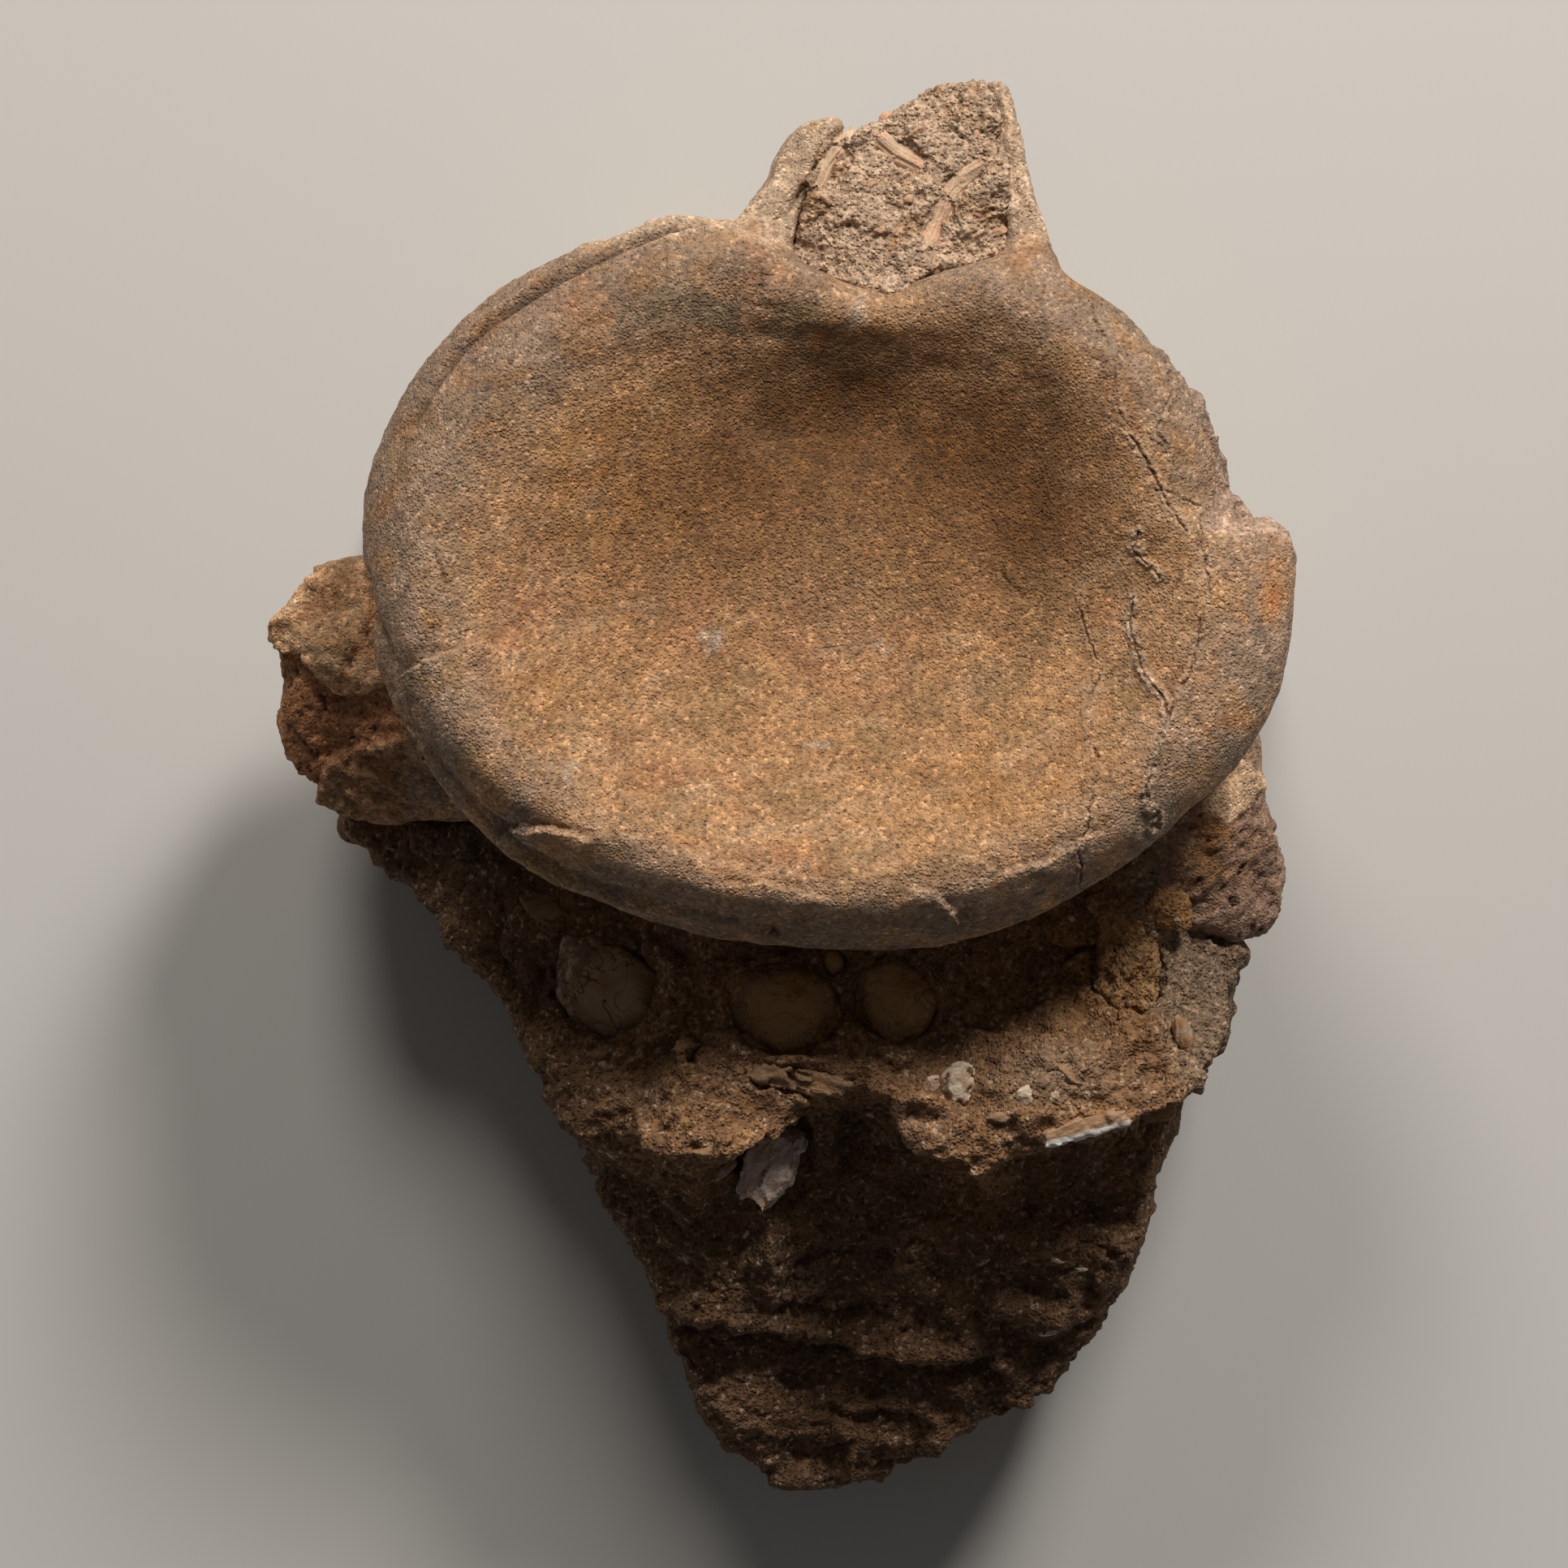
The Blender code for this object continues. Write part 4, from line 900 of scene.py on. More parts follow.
def bone_finish(bone):
    """Fossil bone: ochre in the bowl, greyer and paler on the lip, rusty where it is broken."""
    finish = Finish("fossil_bone", bone.ochre, 0.85)
    swept = finish.mapped(stretch=(2.6, 0.9, 1.0), turn_deg=14.0)
    patches = finish.noise(12.0, 5.0, bend=0.6)
    mottles = finish.noise(8.0, 5.0, place=finish.mapped(shift=(0.21, 0.02, 0.0)), bend=0.5)
    streaks = finish.noise(2.6, 4.0, place=swept, bend=0.5)
    blotches = finish.noise(4.6, 4.0, bend=0.5)
    tints = finish.noise(7.0, 4.0, place=finish.mapped(shift=(0.11, 0.07, 0.0)), bend=0.4)
    speckle = finish.noise(0.9, 3.0)
    grit = finish.tones(0.36)
    pits = finish.noise(0.55, 2.0)
    finish.lay(bone.olive, finish.rise(mottles, 0.50, 0.64), 0.6)
    finish.lay(bone.red, finish.rise(patches, 0.50, 0.66), 0.6)
    finish.lay(bone.tan, finish.rise(streaks, 0.50, 0.70), 0.45)
    # Brown stain in the bowl, with painted shade over its upper half.
    finish.patch(bone.brown, "bowl", mottles, 0.95, 0.35)
    # Deep brown stain in the hollows, with painted shade over it.
    finish.patch(bone.deep, "deep", blotches, 0.10, 0.50)
    finish.lay(bone.tan, finish.mark("rings"), 0.30)
    finish.patch(bone.fibre, "warm", blotches, 0.35, 0.60, 0.5)
    finish.patch(bone.grey, "rim", blotches, 0.30, 0.58, 0.8)
    finish.patch(bone.lilac, "bruise", blotches, 0.42, 0.58, 0.75)
    finish.patch(bone.green, "green", tints, 0.44, 0.58, 0.7)
    finish.patch(bone.cream, "cream", blotches, 0.20, 0.50)
    finish.lay(bone.pink, finish.mark("lost"), 0.9)
    finish.lay(bone.purple, finish.mark("right_rib"), 0.9)
    finish.patch(bone.fibre, "fibre", blotches, 0.34, 0.52, 0.85)
    finish.patch(bone.skin, "skin", blotches, 0.0, 0.45)
    finish.patch(bone.yellow, "yellow", mottles, 0.75, 0.35)
    finish.patch(bone.moss, "yellow", blotches, 0.50, 0.62, 0.10)
    finish.patch(bone.rust, "yellow", streaks, 0.52, 0.60, 0.6)
    finish.patch(bone.skin, "yellow", streaks, 0.46, 0.38, 0.5)
    finish.patch(bone.rust, "rust", blotches, 0.20, 0.45)
    finish.lay(bone.orange, finish.mark("spot"), 0.9)
    finish.patch(bone.chalk, "chalk", speckle, 0.25, 0.50)
    # Dark sand in cracks and pores, with painted shade in the hollows, cracks and grooves.
    finish.lay(bone.dirt, finish.mark("dirt"), 0.8)
    finish.shade(finish.rise(finish.noise(3.0, 5.0), 0.35, 0.65), 0.86, 1.12)
    finish.shade(grit, 0.68, 1.30)
    finish.shade(finish.rise(grit, 0.92, 0.96), 1.0, 1.35)
    # Painted shade: the upper rim darkened.
    finish.shade(finish.mark("dusk"), 1.0, 0.72)
    finish.shade(finish.rise(speckle, 0.30, 0.70), 0.86, 1.14)
    holes = finish.rise(finish.grains(1.9), 0.15, 0.07)
    finish.lay(bone.dirt, finish.both(holes, finish.rise(blotches, 0.45, 0.55)), 0.7)
    finish.lay(bone.dirt, finish.rise(pits, 0.64, 0.76), 0.4)
    finish.relief(finish.noise(0.6, 4.0), 0.08)
    finish.relief(finish.rise(finish.grains(0.36), 0.60, 0.10), 0.09)
    finish.relief(finish.rise(pits, 0.70, 0.58), 0.12)
    return finish.done()


class FOSSIL_OT_vertebra(bpy.types.Operator):
    """Finishes the vertebra: its grain, cracks, lost flakes and broken stumps"""

    bl_idname = "fossil.vertebra"
    bl_label = "Vertebra"

    def execute(self, context):
        bone = context.scene.fossil_bone
        piece = even_celled("vertebra_bone", merged_copy("vertebra"), bone.cell)
        smoothed(piece, 1)
        smoothed(piece, 8, worn_parts)
        for zone in (fine_parts, finest_parts, crack_floors):
            halved(piece, zone)
        smoothed(piece, 3, laminae)
        places, looks = surface(piece)
        zones = bone_zones(places, looks)
        rise, dirt, chalk = bone_relief(bone, places, looks, zones)
        shifted(piece, looks * rise[:, None])
        x, y, z = places.T
        reach = face_reach(places)
        deep = hollowness(piece, 3)
        ribless = 1.0 - np.maximum(zones["left_rib"], zones["arch"])
        low_lip = ease((reach - 0.86) / 0.1) * ease((22.0 - y) / 24.0) * ribless
        # The hollows' brown stain, with painted shade over it.
        rich_and_shaded = patched(places, HOLLOWS) * (z > 40.0)
        rings = ease((lumps(ringed(places), 1.8, 5.5, 3) + 0.1) / 0.4) * ease((reach - 0.4) / 0.3)
        marked(
            piece,
            # A brown stain, with painted shade over the bowl's upper half.
            bowl=ease((0.80 - reach) / 0.35) * ease((y - 12.0) / 22.0),
            rings=rings * (1.0 - rich_and_shaded),
            # Painted shade along the upper rim.
            dusk=ease((y - 22.0) / 20.0) * ease((reach - 0.72) / 0.2) * (1.0 - zones["arch"]),
            rim=np.maximum(ease((reach - 0.70) / 0.22), zones["flank"]) * ribless,
            bruise=np.maximum(low_lip, 0.45 * in_patch(places, BRUISED_LIP)),
            green=in_patch(places, GREEN_TINT),
            # Deep brown stain in the hollows, with painted shade.
            deep=1.1 * rich_and_shaded,
            warm=patched(places, WARM),
            cream=zones["arch"] * 0.9,
            skin=zones["cream"],
            yellow=zones["skin"],
            lost=zones["lost"],
            right_rib=zones["right_rib"],
            fibre=zones["right_rib"] * bell((x - 46.8) / 3.8) * bell((y + 5.0) / 4.5),
            rust=zones["inner"],
            spot=in_patch(places, ORANGE_SPOT),
            chalk=chalk,
            # Sand in cracks and pores, and painted shade in the hollows by their depth.
            dirt=dirt + ease(deep / 0.4) * 0.5,
        )
        settled(piece, "vertebra", "fossil_bone", bone_finish(bone))
        return {"FINISHED"}


def node_reach(places, node):
    """How far each place is from a CAD node's middle, seen from the front: 1 at its edge."""
    low, high = (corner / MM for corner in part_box(node))
    middle, half = (low + high) / 2.0, (high - low) / 2.0
    return np.hypot((places[:, 0] - middle.x) / half.x, (places[:, 1] - middle.y) / half.y)


def rock_relief(rock, places):
    """How far each place of the matrix stands out, in millimetres."""
    cut = jittered(places, 1.6, 0.35, 2.0)
    planes = facets(cut, 6.2, 4.4) + 0.55 * facets(cut, 2.7, 1.8) + 0.25 * facets(cut, 1.3, 6.8)
    rise = rock.crags / MM * planes + 0.34 * lumps(places, 1.5, 8.1, 3)
    return rise + rock.grain / MM * lumps(places, 0.6, 5.5, 2)


def matrix_shifts(rock, places, looks):
    """The shift of each place of the matrix: its ledges, mounds, pits and rough grain."""
    x, y, z = places.T
    top = ease((looks[:, 2] + 0.1) / 0.5) * ease((z - 6.0) / 8.0)
    rise = np.zeros(len(places))
    ragged = jittered(jittered(places, 3.6, 1.0, 1.0), 1.2, 0.35, 5.0)
    for middle, half, height in MOUNDS:
        rise += height * in_patch(ragged, (middle, half))
    for line, drop in BEDS:
        off, side = off_line(ragged, line)
        ends = ease((x - line[0][0]) / 3.0) * ease((line[-1][0] - x) / 3.0)
        rise -= ends * step_beside(off, -side, drop, 0.6, 5.0)
        rise += ends * np.where(side > 0, 0.3 * drop * bell(off / 2.5), 0.0)
    calm = np.zeros(len(places))
    collar = ease(lumps(places, 2.2, 3.1, 2) + 0.7)
    for node in NODULES:
        reach = node_reach(ragged, node)
        calm = np.maximum(calm, bell(reach / 1.25))
        rise += 1.4 * bell((reach - 1.02) / 0.17) * collar
    shifts = np.zeros_like(places)
    shifts[:, 2] = top * rise
    edge = np.interp(ragged[:, 0], *np.array(LEDGE).T)
    on_ledge = ease((x + 9.0) / 4.0)
    under = ease((LEDGE_HEIGHT - 2.0 - z) / 5.0) * bell((edge - 1.5 - y) / 3.0)
    shifts[:, 1] += on_ledge * 2.4 * under * (z > 24.0)
    lip = bell((ragged[:, 1] - edge - 0.6) / 0.9) * ease((z - 40.0) / 2.0)
    shifts[:, 2] += on_ledge * 0.7 * lip
    above_back = ease(z / 3.0) * (1.0 - 0.75 * calm)
    return shifts + looks * (rock_relief(rock, places) * above_back)[:, None]


def matrix_top(places, looks):
    """The matrix's broken upper side."""
    return (looks[:, 2] > 0.22) & (places[:, 2] > 12.0)


def rock_finish(name, rock, main, grey_share, relief):
    """Granular sandy rock: pale and dark grains, with iron stains, leached patches and painted
    shade.
    """
    finish = Finish(name, main, 0.92)
    patches = finish.noise(8.0, 5.0, bend=0.5)
    stains = finish.noise(5.0, 4.0, place=finish.mapped(shift=(0.3, 0.1, 0.2)), bend=0.8)
    sand = finish.tones(0.42)
    dust = finish.noise(0.7, 4.0)
    finish.lay(rock.grey, finish.rise(patches, 0.48, 0.68), grey_share)
    finish.lay(rock.ochre, finish.rise(stains, 0.52, 0.68), 0.7)
    finish.lay(rock.ochre, finish.mark("stain"), 0.8)
    finish.lay(rock.grey, finish.mark("leached"), 0.75)
    # Darker towards the bottom, with painted shade under the lip at the left.
    finish.lay(rock.dark, finish.mark("low"), 0.48)
    finish.shade(sand, 0.62, 1.36)
    finish.lay(rock.glint, finish.rise(sand, 0.93, 0.96), 0.55)
    finish.lay(rock.dark, finish.rise(sand, 0.06, 0.03), 0.4)
    finish.shade(finish.rise(dust, 0.3, 0.7), 0.74, 1.22)
    # Painted shade in the rock's hollows.
    finish.lay(rock.dark, finish.mark("hollow"), 0.8)
    finish.relief(dust, relief)
    finish.relief(finish.rise(finish.grains(0.42), 0.62, 0.05), 0.20)
    return finish.done()


def rock_marks(places):
    """Where the matrix is stained or leached, darker towards the bottom, and painted shade under the
    lip at the left.
    """
    x, y, z = places.T
    leached = ease((x - 38.0 + 0.25 * (y + 20.0)) / 4.0) * ease((y + 34.0) / 6.0)
    # The rock darker towards the bottom; the SHADED patch adds painted shade.
    low = ease((38.0 - z) / 9.0) * ease((52.0 - np.abs(x - 3.0)) / 8.0)
    return {
        "stain": np.maximum(patched(places, STAINS), 0.8 * in_patch(places, FAINT_STAIN)),
        "leached": np.maximum(leached, 0.8 * in_patch(places, LEACHED)),
        "low": np.maximum(low, in_patch(places, SHADED)),
    }


def strewn(count, seed, height):
    """Spots for crumbs of rock, strewn over the matrix's upper side."""
    draw = np.random.default_rng(seed)
    spots = []
    while len(spots) < count:
        x, y = draw.uniform(*STREWN_X), draw.uniform(*STREWN_Y)
        size = 0.35 + 0.9 * draw.random() ** 3
        turn_deg = draw.uniform(0.0, 180.0)
        here = np.array([[x, y, 0.0]])
        clear = min(node_reach(here, node)[0] for node in NODULES) > 1.25
        if clear and height(x, y) > STREWN_ABOVE:
            spots.append(((x, y), (size, 0.75 * size, 0.7 * size), turn_deg))
    return spots


class FOSSIL_OT_matrix(bpy.types.Operator):
    """Finishes the block of matrix: its ledge, worn beds, pits and grains"""

    bl_idname = "fossil.matrix"
    bl_label = "Matrix"

    def execute(self, context):
        rock = context.scene.fossil_rock
        piece = even_celled("matrix_rock", merged_copy("matrix"), rock.cell)
        smoothed(piece, 4)
        met(piece, bpy.data.objects["vertebra_bone"], 0.5)
        halved(piece, matrix_top)
        smoothed(piece, 1)
        places, looks = surface(piece)
        shifted(piece, matrix_shifts(rock, places, looks))
        deep = hollowness(piece, 6)
        # Painted shade: the rock darkened in its hollows, by their depth.
        marked(piece, hollow=ease(deep / 0.9) * 0.8, **rock_marks(places))
        finish = rock_finish("sandy_matrix", rock, rock.brown, 0.25, 0.45)
        settled(piece, "matrix", "sandy_matrix", finish)
        top = upper_side(piece)
        piece = crumbs("rock_crumbs", strewn(90, 4, top), top, 0.35, 3)
        marked(piece, **rock_marks(surface(piece)[0]))
        settled(piece, None, "sandy_matrix", finish)
        return {"FINISHED"}


def canal_front(places, looks):
    """The upper side of the canal's rock."""
    return (looks[:, 2] > 0.1) & (places[:, 2] > 40.0)


class FOSSIL_OT_canal_fill(bpy.types.Operator):
    """Finishes the granular rock between the laminae of the arch"""

    bl_idname = "fossil.canal_fill"
    bl_label = "Canal fill"

    def execute(self, context):
        rock = context.scene.fossil_rock
        piece = even_celled("canal_rock", merged_copy("canal_fill"), rock.canal_cell)
        smoothed(piece, 3)
        met(piece, bpy.data.objects["vertebra_bone"], 0.7)
        halved(piece, canal_front)
        smoothed(piece, 1)
        places, looks = surface(piece)
        rough = jittered(places, 1.2, 0.3, 2.0)
        rise = 0.34 * facets(rough, 2.6, 1.3) + 0.16 * facets(rough, 0.9, 2.9)
        rise += 0.3 * np.abs(lumps(combed(places, 12.0, 1.5), 1.0, 6.2, 3)) - 0.1
        rise += 0.20 * lumps(places, 0.45, 3.3, 2)
        off, _ = off_line(rough, LAMINA_EDGES[0])
        rise -= 1.0 * bell(off / 0.6) * ease((places[:, 1] - 61.5) / 2.0)
        shifted(piece, looks * rise[:, None])
        # Painted shade: the canal's rock darkened in its hollows, by their depth.
        marked(piece, hollow=ease(hollowness(piece, 5) / 0.35) * 0.25)
        finish = rock_finish("canal_sand", rock, rock.sand, 0.15, 0.28)
        settled(piece, "canal_fill", "sandy_matrix", finish)
        return {"FINISHED"}


def middle_of(node):
    """The middle of a CAD node's box."""
    low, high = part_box(node)
    return (low + high) / 2.0


def nodule_finish(node, nodules, main, rings, roots):
    """A smooth, faintly waxy nodule, with rings, dark specks and root-like lines."""
    finish = Finish(node, main, 0.42)
    finish.lay(nodules.clouds, finish.rise(finish.noise(2.6, 3.0, bend=0.7), 0.48, 0.72), 0.6)
    inputs = {"Vector": finish.mapped(shift=middle_of(node)), "Scale": 260.0}
    inputs.update({"Distortion": 9.0, "Detail": 3.0, "Detail Scale": 1.5})
    settings = {"wave_type": "RINGS", "rings_direction": "Z"}
    wave = finish.node("ShaderNodeTexWave", "Fac", inputs, **settings)
    finish.shade(wave, 1.0 - rings, 1.0 + 0.4 * rings)
    spots = finish.rise(finish.grains(1.7), 0.20, 0.10)
    thinned = finish.noise(1.4, 1.0, place=finish.mapped(shift=(0.02, 0.0, 0.0)))
    finish.lay(nodules.specks, finish.both(spots, finish.rise(thinned, 0.52, 0.58)), 0.9)
    lines = finish.math("ABSOLUTE", finish.math("SUBTRACT", finish.noise(3.4, 1.0, bend=1.4), 0.5))
    finish.lay(nodules.specks, finish.rise(lines, 0.022, 0.008), roots)
    fine = finish.noise(0.5, 3.0)
    finish.shade(fine, 0.85, 1.15)
    dust = finish.both(finish.mark("edge"), finish.rise(finish.noise(1.2, 4.0), 0.40, 0.55))
    finish.lay(nodules.dust, dust, 0.9)
    finish.relief(fine, 0.04)
    finish.relief(dust, 0.20)
    return finish.done()


def dressed(name, node, cell, times):
    """A piece of the CAD node's form in even cells, eased that many times, and its surface."""
    piece = even_celled(name, merged_copy(node), cell)
    smoothed(piece, times)
    return (piece, *surface(piece))


def above_foot(places):
    """How high each place stands above the piece's lowest one."""
    return places[:, 2] - places[:, 2].min()


class FOSSIL_OT_nodules(bpy.types.Operator):
    """Finishes the smooth nodules set in the matrix"""

    bl_idname = "fossil.nodules"
    bl_label = "Nodules"

    def execute(self, context):
        nodules = context.scene.fossil_nodules
        kinds = [
            ("nodule_left", "grey_nodule", nodules.grey, 0.04, 0.80),
            ("nodule_middle", "amber_nodule", nodules.amber, 0.05, 0.60),
            ("nodule_right", "amber_nodule", nodules.amber, 0.10, 0.50),
            ("nodule_small", "amber_nodule", nodules.amber, 0.05, 0.0),
        ]
        for seed, (node, slot, main, rings, roots) in enumerate(kinds, 1):
            piece, places, looks = dressed(node + "_stone", node, nodules.cell, 4)
            shifts = looks * (nodules.dents / MM * lumps(places, 3.0, 1.9 * seed, 2))[:, None]
            shifts += looks * (0.8 * lumps(places, 5.0, 2.3 * seed, 2))[:, None]
            shifts[:, :2] += 0.09 * (places[:, :2] - np.array(middle_of(node))[:2] / MM)
            shifts[:, 2] -= nodules.sink * above_foot(places)
            reach = node_reach(places, node)
            uneven = ease(lumps(places, 3.0, seed, 3) + 0.5)
            shifts[:, 2] -= 0.9 * (ease((reach - 0.68) / 0.3) * uneven)
            shifted(piece, shifts)
            marked(piece, edge=ease((reach - 0.30) / 0.55))
            settled(piece, node, slot, nodule_finish(node, nodules, main, rings, roots))
        return {"FINISHED"}


def chip_finish(name, main, fibre_deg, rust, roughness=0.8):
    """Broken bone with fibres along it."""
    finish = Finish(name, main, roughness)
    along = finish.mapped(stretch=(4.5, 1.0, 1.0), turn_deg=fibre_deg)
    fibres = finish.noise(0.5, 4.0, place=along, bend=0.6)
    clouds = finish.noise(2.0, 4.0, bend=0.5)
    finish.lay(rust, finish.rise(clouds, 0.46, 0.62), 0.7)
    finish.shade(finish.rise(fibres, 0.30, 0.70), 0.78, 1.14)
    fine = finish.noise(0.3, 2.0)
    finish.shade(fine, 0.7, 1.3)
    finish.relief(fibres, 0.12)
    finish.relief(fine, 0.12)
    return finish.done()


def upper_side(piece):
    """A function that gives the height of the piece's upper side at x and y, in millimetres."""
    tree = search_tree(piece)

    def height(x, y):
        hit = tree.ray_cast(Vector((x, y, ABOVE_ALL)), Vector((0.0, 0.0, -1.0)))[0]
        return hit.z if hit else 0.0

    return height


def broken_block(ways, seed):
    """How far out an angular block of about radius 1 reaches along each way from its middle."""
    draw = np.random.default_rng(seed)
    sides = draw.normal(size=(13, 3))
    sides /= np.linalg.norm(sides, axis=1)[:, None]
    depths = draw.uniform(0.62, 0.95, 13)
    facing = np.maximum(ways @ sides.T, 0.05)
    return np.minimum((depths / facing).min(1), 1.35)


def crumbs(name, spots, height, sunk, cuts=4):
    """One piece of angular crumbs, each sunk in the rock by that share of its half height."""
    bm = bmesh.new()
    for seed, ((x, y), half, turn_deg) in enumerate(spots, 1):
        made = bmesh.ops.create_icosphere(bm, subdivisions=cuts, radius=1.0)["verts"]
        ways = np.array([vert.co for vert in made])
        grown = broken_block(ways, seed) + 0.08 * lumps(ways, 0.35, seed, 3)
        turn = Matrix.Rotation(math.radians(turn_deg), 3, "Z")
        middle = Vector((x, y, height(x, y) - sunk * half[2]))
        for vert, grow in zip(made, grown):
            shape = Vector([grow * axis * reach for axis, reach in zip(vert.co, half)])
            vert.co = (middle + turn @ shape) * MM
    return new_piece(name, bm)


class FOSSIL_OT_ochre_bone(bpy.types.Operator):
    """Finishes the ochre chips of bone in the matrix"""

    bl_idname = "fossil.ochre_bone"
    bl_label = "Ochre bone"

    def execute(self, context):
        chips, rock = context.scene.fossil_chips, context.scene.fossil_rock
        for node in ("ochre_fragment", "ochre_chip"):
            piece, places, looks = dressed(node + "_bone", node, chips.cell, 1)
            cut = jittered(places, 1.5, 0.4, 2.0)
            rise = 0.8 * facets(cut, 3.6, 2.1, 0.03) + 0.30 * facets(cut, 1.3, 6.1, 0.05)
            rise += 0.16 * lumps(places, 0.7, 3.1, 3)
            shifts = looks * rise[:, None]
            shifts[:, 2] -= FLATTENED.get(node, 0.0) * above_foot(places)
            shifted(piece, shifts)
            finish = rock_finish(node + "_bone", rock, chips.ochre, 0.3, 0.35)
            settled(piece, node, "ochre_bone", finish)
        piece, places, looks = dressed("seed_bone", "seed_fragment", chips.cell, 2)
        shifted(piece, looks * (0.10 * np.sin(places[:, 0] * math.tau / 0.55))[:, None])
        finish = chip_finish("seed_bone", chips.seed, 98.0, chips.rust)
        settled(piece, "seed_fragment", "pale_bone", finish)
        top = upper_side(bpy.data.objects["matrix_rock"])
        piece = crumbs("orange_slabs", ORANGE_SLABS, top, 0.62, 5)
        finish = rock_finish("orange_slabs", rock, chips.orange, 0.1, 0.35)
        settled(piece, None, "ochre_bone", finish)
        piece = crumbs("bone_crumbs", BONE_CRUMBS, top, 0.55)
        finish = chip_finish("bone_crumbs", chips.crumbs, 20.0, chips.rust)
        settled(piece, None, "ochre_bone", finish)
        return {"FINISHED"}


def shell_finish(name, chips):
    """Chalky shell under a crust of sand, bluish where its edge is broken."""
    finish = Finish(name, chips.shell, 0.6)
    finish.lay(chips.crust, finish.rise(finish.noise(1.6, 4.0), 0.46, 0.60), 0.6)
    finish.lay(chips.crust, finish.mark("crust"), 0.9)
    finish.lay(chips.blue, finish.mark("edge"), 0.8)
    layers = finish.noise(0.5, 3.0, place=finish.mapped(stretch=(5.0, 1.0, 1.0), turn_deg=14.0))
    finish.shade(finish.rise(layers, 0.3, 0.7), 0.78, 1.18)
    fine = finish.noise(0.3, 3.0)
    finish.shade(fine, 0.8, 1.15)
    finish.relief(layers, 0.10)
    finish.relief(fine, 0.10)
    return finish.done()


class FOSSIL_OT_shell(bpy.types.Operator):
    """Finishes the bits of shell in the matrix"""

    bl_idname = "fossil.shell"
    bl_label = "Shell"

    def execute(self, context):
        chips = context.scene.fossil_chips
        for node, crusted in (("shell_flake", 0.0), ("shell_edge", 1.0)):
            piece, places, looks = dressed(node + "_bit", node, chips.cell, 1)
            plates = 0.12 + 0.13 * crusted
            rise = plates * facets(jittered(places, 1.0, 0.3, 2.0), 2.4, 4.7, 0.05)
            rise += 0.10 * lumps(places, 0.5, 1.7, 2)
            shifts = looks * rise[:, None]
            reach = node_reach(jittered(places, 1.3, 0.6, 4.0), node)
            torn = ease((reach - 0.62) / 0.08) * (1.0 - crusted)
            shifts[:, 2] -= FLATTENED.get(node, 0.0) * above_foot(places) + 1.1 * torn
            shifted(piece, shifts)
            line = np.polyfit(places[:, 0], places[:, 1], 1)
            rim = ease((np.polyval(line, places[:, 0]) - places[:, 1] - 0.1) / 0.4) * crusted
            marked(piece, crust=(1.0 - rim) * crusted, edge=rim)
            settled(piece, node, "shell", shell_finish(node, chips))
        top = upper_side(bpy.data.objects["matrix_rock"])
        piece = crumbs("shell_crumbs", SHELL_CRUMBS, top, 0.35)
        settled(piece, None, "shell", shell_finish("shell_crumbs", chips))
        return {"FINISHED"}


def along_path(path, t):
    """The point of a path of points at t from 0 to 1, and the way across it."""
    spots = np.array(path)
    at = np.linspace(0.0, 1.0, len(spots))
    near = (t, min(1.0, t + 0.05), max(0.0, t - 0.05))
    point, ahead, behind = (
        np.array([np.interp(here, at, spots[:, k]) for k in (0, 1)]) for here in near
    )
    way = (ahead - behind) / np.hypot(*(ahead - behind))
    return point, np.array((-way[1], way[0]))


def sliver(name, path, width, thickness, seed, height):
    """A fibrous strip of bone that lies along the path, with frayed ends."""
    steps = np.linspace(0.0, 1.0, 13)
    bed = np.array([height(*along_path(path, t)[0]) for t in steps])
    bed = np.convolve(np.pad(bed, 3, "edge"), np.full(7, 1 / 7), "valid")
    bm = bmesh.new()
    bmesh.ops.create_grid(bm, x_segments=64, y_segments=20, size=0.5)
    for vert in bm.verts:
        t, across = vert.co.x + 0.5, vert.co.y * 2.0
        fray = 0.16 * noise.noise(Vector((across * 3.2, seed, 0.0)))
        t = min(1.0, max(0.0, t + fray * (2.0 * t - 1.0)))
        point, side = along_path(path, t)
        wide = width * 0.5 * (1.0 + 0.3 * noise.noise(Vector((t * 3.0, seed, 2.0))))
        spot = point + side * across * wide
        strand = 0.22 * noise.noise(Vector((across * 4.0, t * 0.7, seed)))
        lift = thickness * (0.35 - 0.75 * across**2) + strand
        vert.co = Vector((spot[0], spot[1], np.interp(t, steps, bed) + lift)) * MM
    bmesh.ops.solidify(bm, geom=bm.faces[:], thickness=thickness * MM)
    bmesh.ops.recalc_face_normals(bm, faces=bm.faces)
    return new_piece(name, bm)


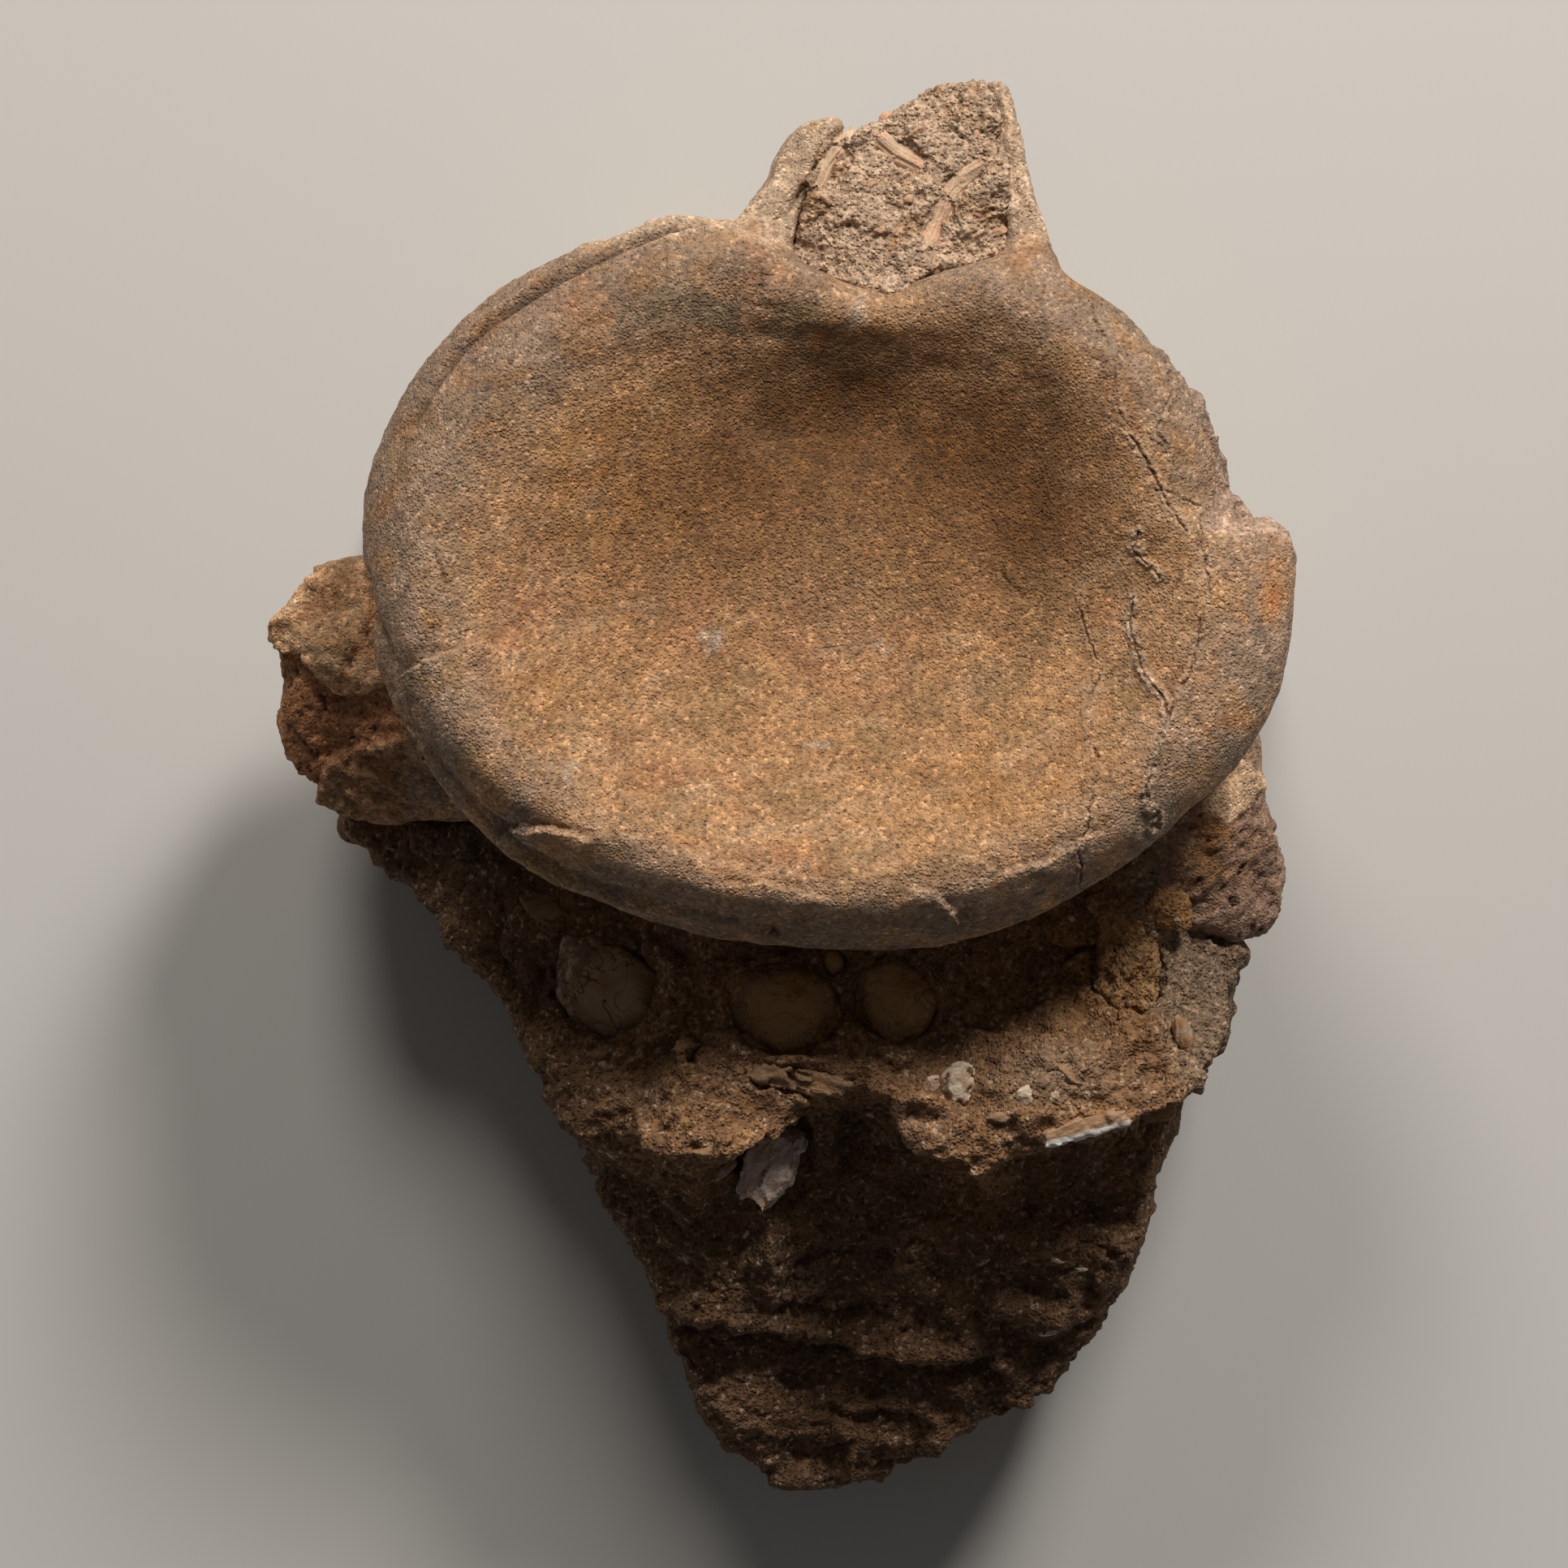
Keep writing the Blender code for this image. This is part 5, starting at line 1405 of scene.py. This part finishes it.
class FOSSIL_OT_splinters(bpy.types.Operator):
    """Lays the fibrous splinters of bone on the rock"""

    bl_idname = "fossil.splinters"
    bl_label = "Splinters"

    def execute(self, context):
        chips = context.scene.fossil_chips
        sand = upper_side(bpy.data.objects["canal_rock"])
        top = upper_side(bpy.data.objects["matrix_rock"])
        thick = chips.thickness / MM
        for node, (path, width, seed) in SPLINTER_PATHS.items():
            piece = sliver(node + "_strip", path, width, thick, seed, sand)
            (x0, y0), (x1, y1) = path[0], path[-1]
            turn = math.degrees(math.atan2(y1 - y0, x1 - x0))
            finish = chip_finish(node, chips.splinter, turn, chips.pink, 0.7)
            settled(piece, node, "pale_bone", finish)
        piece = crumbs("dark_crumbs", DARK_CRUMBS, top, 0.3)
        finish = chip_finish("dark_crumbs", chips.dark, 60.0, chips.ochre, 0.6)
        settled(piece, None, "dark_bone", finish)
        piece = crumbs("canal_crumbs", CANAL_CRUMBS, sand, 0.2)
        finish = chip_finish("canal_crumbs", chips.canal_crumbs, 30.0, chips.pink)
        settled(piece, None, "pale_bone", finish)
        for node, slot, main, fibre_deg in (
            ("dark_splinter", "dark_bone", chips.dark, 62.0),
            ("layered_splinter", "pale_bone", chips.layers, -18.0),
        ):
            piece, places, looks = dressed(node + "_slab", node, chips.cell, 1)
            rough = jittered(places, 1.2, 0.35, 2.0)
            rise = 0.8 * facets(combed(rough, fibre_deg, 2.6), 1.7, 3.7, 0.04)
            rise += 0.22 * np.sin(places[:, 2] * math.tau / 0.8)
            rise += 0.18 * lumps(places, 0.6, 2.2, 2)
            shifts = looks * rise[:, None]
            shifts[:, 2] -= FLATTENED.get(node, 0.0) * above_foot(places)
            shifted(piece, shifts)
            settled(piece, node, slot, chip_finish(node, main, fibre_deg, chips.ochre, 0.6))
        return {"FINISHED"}


def area_light(name, at, target, size, energy):
    """A round soft light of the key lights' colour, turned to the target."""
    light = bpy.data.lights.new(name, "AREA")
    light.shape, light.size = "DISK", size
    light.energy, light.color = energy, KEY_COLOR
    lamp = bpy.data.objects.new(name, light)
    lamp.location = at
    lamp.rotation_euler = (Vector(target) - Vector(at)).to_track_quat("-Z", "Y").to_euler()
    bpy.context.scene.collection.objects.link(lamp)


def floor_finish(stage):
    """A plain pale floor, very faintly mottled."""
    finish = Finish("pale_floor", stage.floor_color, 0.9)
    finish.shade(finish.noise(40.0, 3.0), 0.985, 1.015)
    return finish.done()


class FOSSIL_OT_stage(bpy.types.Operator):
    """Makes the pale floor, the soft lights and the camera above the joint face"""

    bl_idname = "fossil.stage"
    bl_label = "Stage"

    def execute(self, context):
        stage = context.scene.fossil_stage
        bm = bmesh.new()
        bmesh.ops.create_grid(bm, x_segments=2, y_segments=2, size=stage.floor_width / 2.0)
        floor = new_piece("floor", bm)
        floor.data.materials.append(floor_finish(stage))
        low, high = CAD_BOX
        middle = (low + high) / 2.0
        for name, (way, watts) in KEYS.items():
            at = middle + Vector(way).normalized() * stage.key_distance
            area_light(name, at, middle, stage.key_size, watts)
        world = bpy.data.worlds.new("studio")
        world.use_nodes = True
        background = world.node_tree.nodes["Background"]
        background.inputs["Color"].default_value = SKY_COLOR
        background.inputs["Strength"].default_value = SKY_STRENGTH
        context.scene.world = world
        camera = bpy.data.cameras.new("camera")
        camera.lens, camera.sensor_width = stage.camera_lens, SENSOR_WIDTH
        camera.clip_start, camera.clip_end = CAMERA_NEAR, CAMERA_FAR
        eye = bpy.data.objects.new("camera", camera)
        eye.location = (*CAMERA_SPOT, high.z + stage.camera_distance)
        context.scene.collection.objects.link(eye)
        context.scene.camera = eye
        context.scene.view_settings.view_transform = "Standard"
        return {"FINISHED"}


class FOSSIL_PT_panel(bpy.types.Panel):
    """Lists the steps that finish the fossil"""

    bl_idname = "FOSSIL_PT_panel"
    bl_label = "Fossil vertebra"
    bl_space_type = "VIEW_3D"
    bl_region_type = "UI"
    bl_category = "Fossil"

    def draw(self, context):
        for group in GROUPS:
            box = self.layout.box()
            settings = getattr(context.scene, group)
            for name in settings.bl_rna.properties.keys()[2:]:
                box.prop(settings, name)
        for operator in OPERATORS:
            self.layout.operator(operator.bl_idname)


GROUPS = {
    "fossil_bone": FossilBone,
    "fossil_rock": FossilRock,
    "fossil_nodules": FossilNodules,
    "fossil_chips": FossilChips,
    "fossil_stage": FossilStage,
}
OPERATORS = [
    FOSSIL_OT_vertebra,
    FOSSIL_OT_matrix,
    FOSSIL_OT_canal_fill,
    FOSSIL_OT_nodules,
    FOSSIL_OT_ochre_bone,
    FOSSIL_OT_shell,
    FOSSIL_OT_splinters,
    FOSSIL_OT_stage,
]


def register():
    for kind in [*GROUPS.values(), *OPERATORS, FOSSIL_PT_panel]:
        bpy.utils.register_class(kind)
    for name, kind in GROUPS.items():
        setattr(bpy.types.Scene, name, PointerProperty(type=kind))


def unregister():
    for name in GROUPS:
        delattr(bpy.types.Scene, name)
    for kind in reversed([*GROUPS.values(), *OPERATORS, FOSSIL_PT_panel]):
        bpy.utils.unregister_class(kind)


def main():
    register()
    bpy.ops.fossil.vertebra()
    bpy.ops.fossil.matrix()
    bpy.ops.fossil.canal_fill()
    bpy.ops.fossil.nodules()
    bpy.ops.fossil.ochre_bone()
    bpy.ops.fossil.shell()
    bpy.ops.fossil.splinters()
    bpy.ops.fossil.stage()
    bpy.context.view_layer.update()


if __name__ == "__main__":
    main()
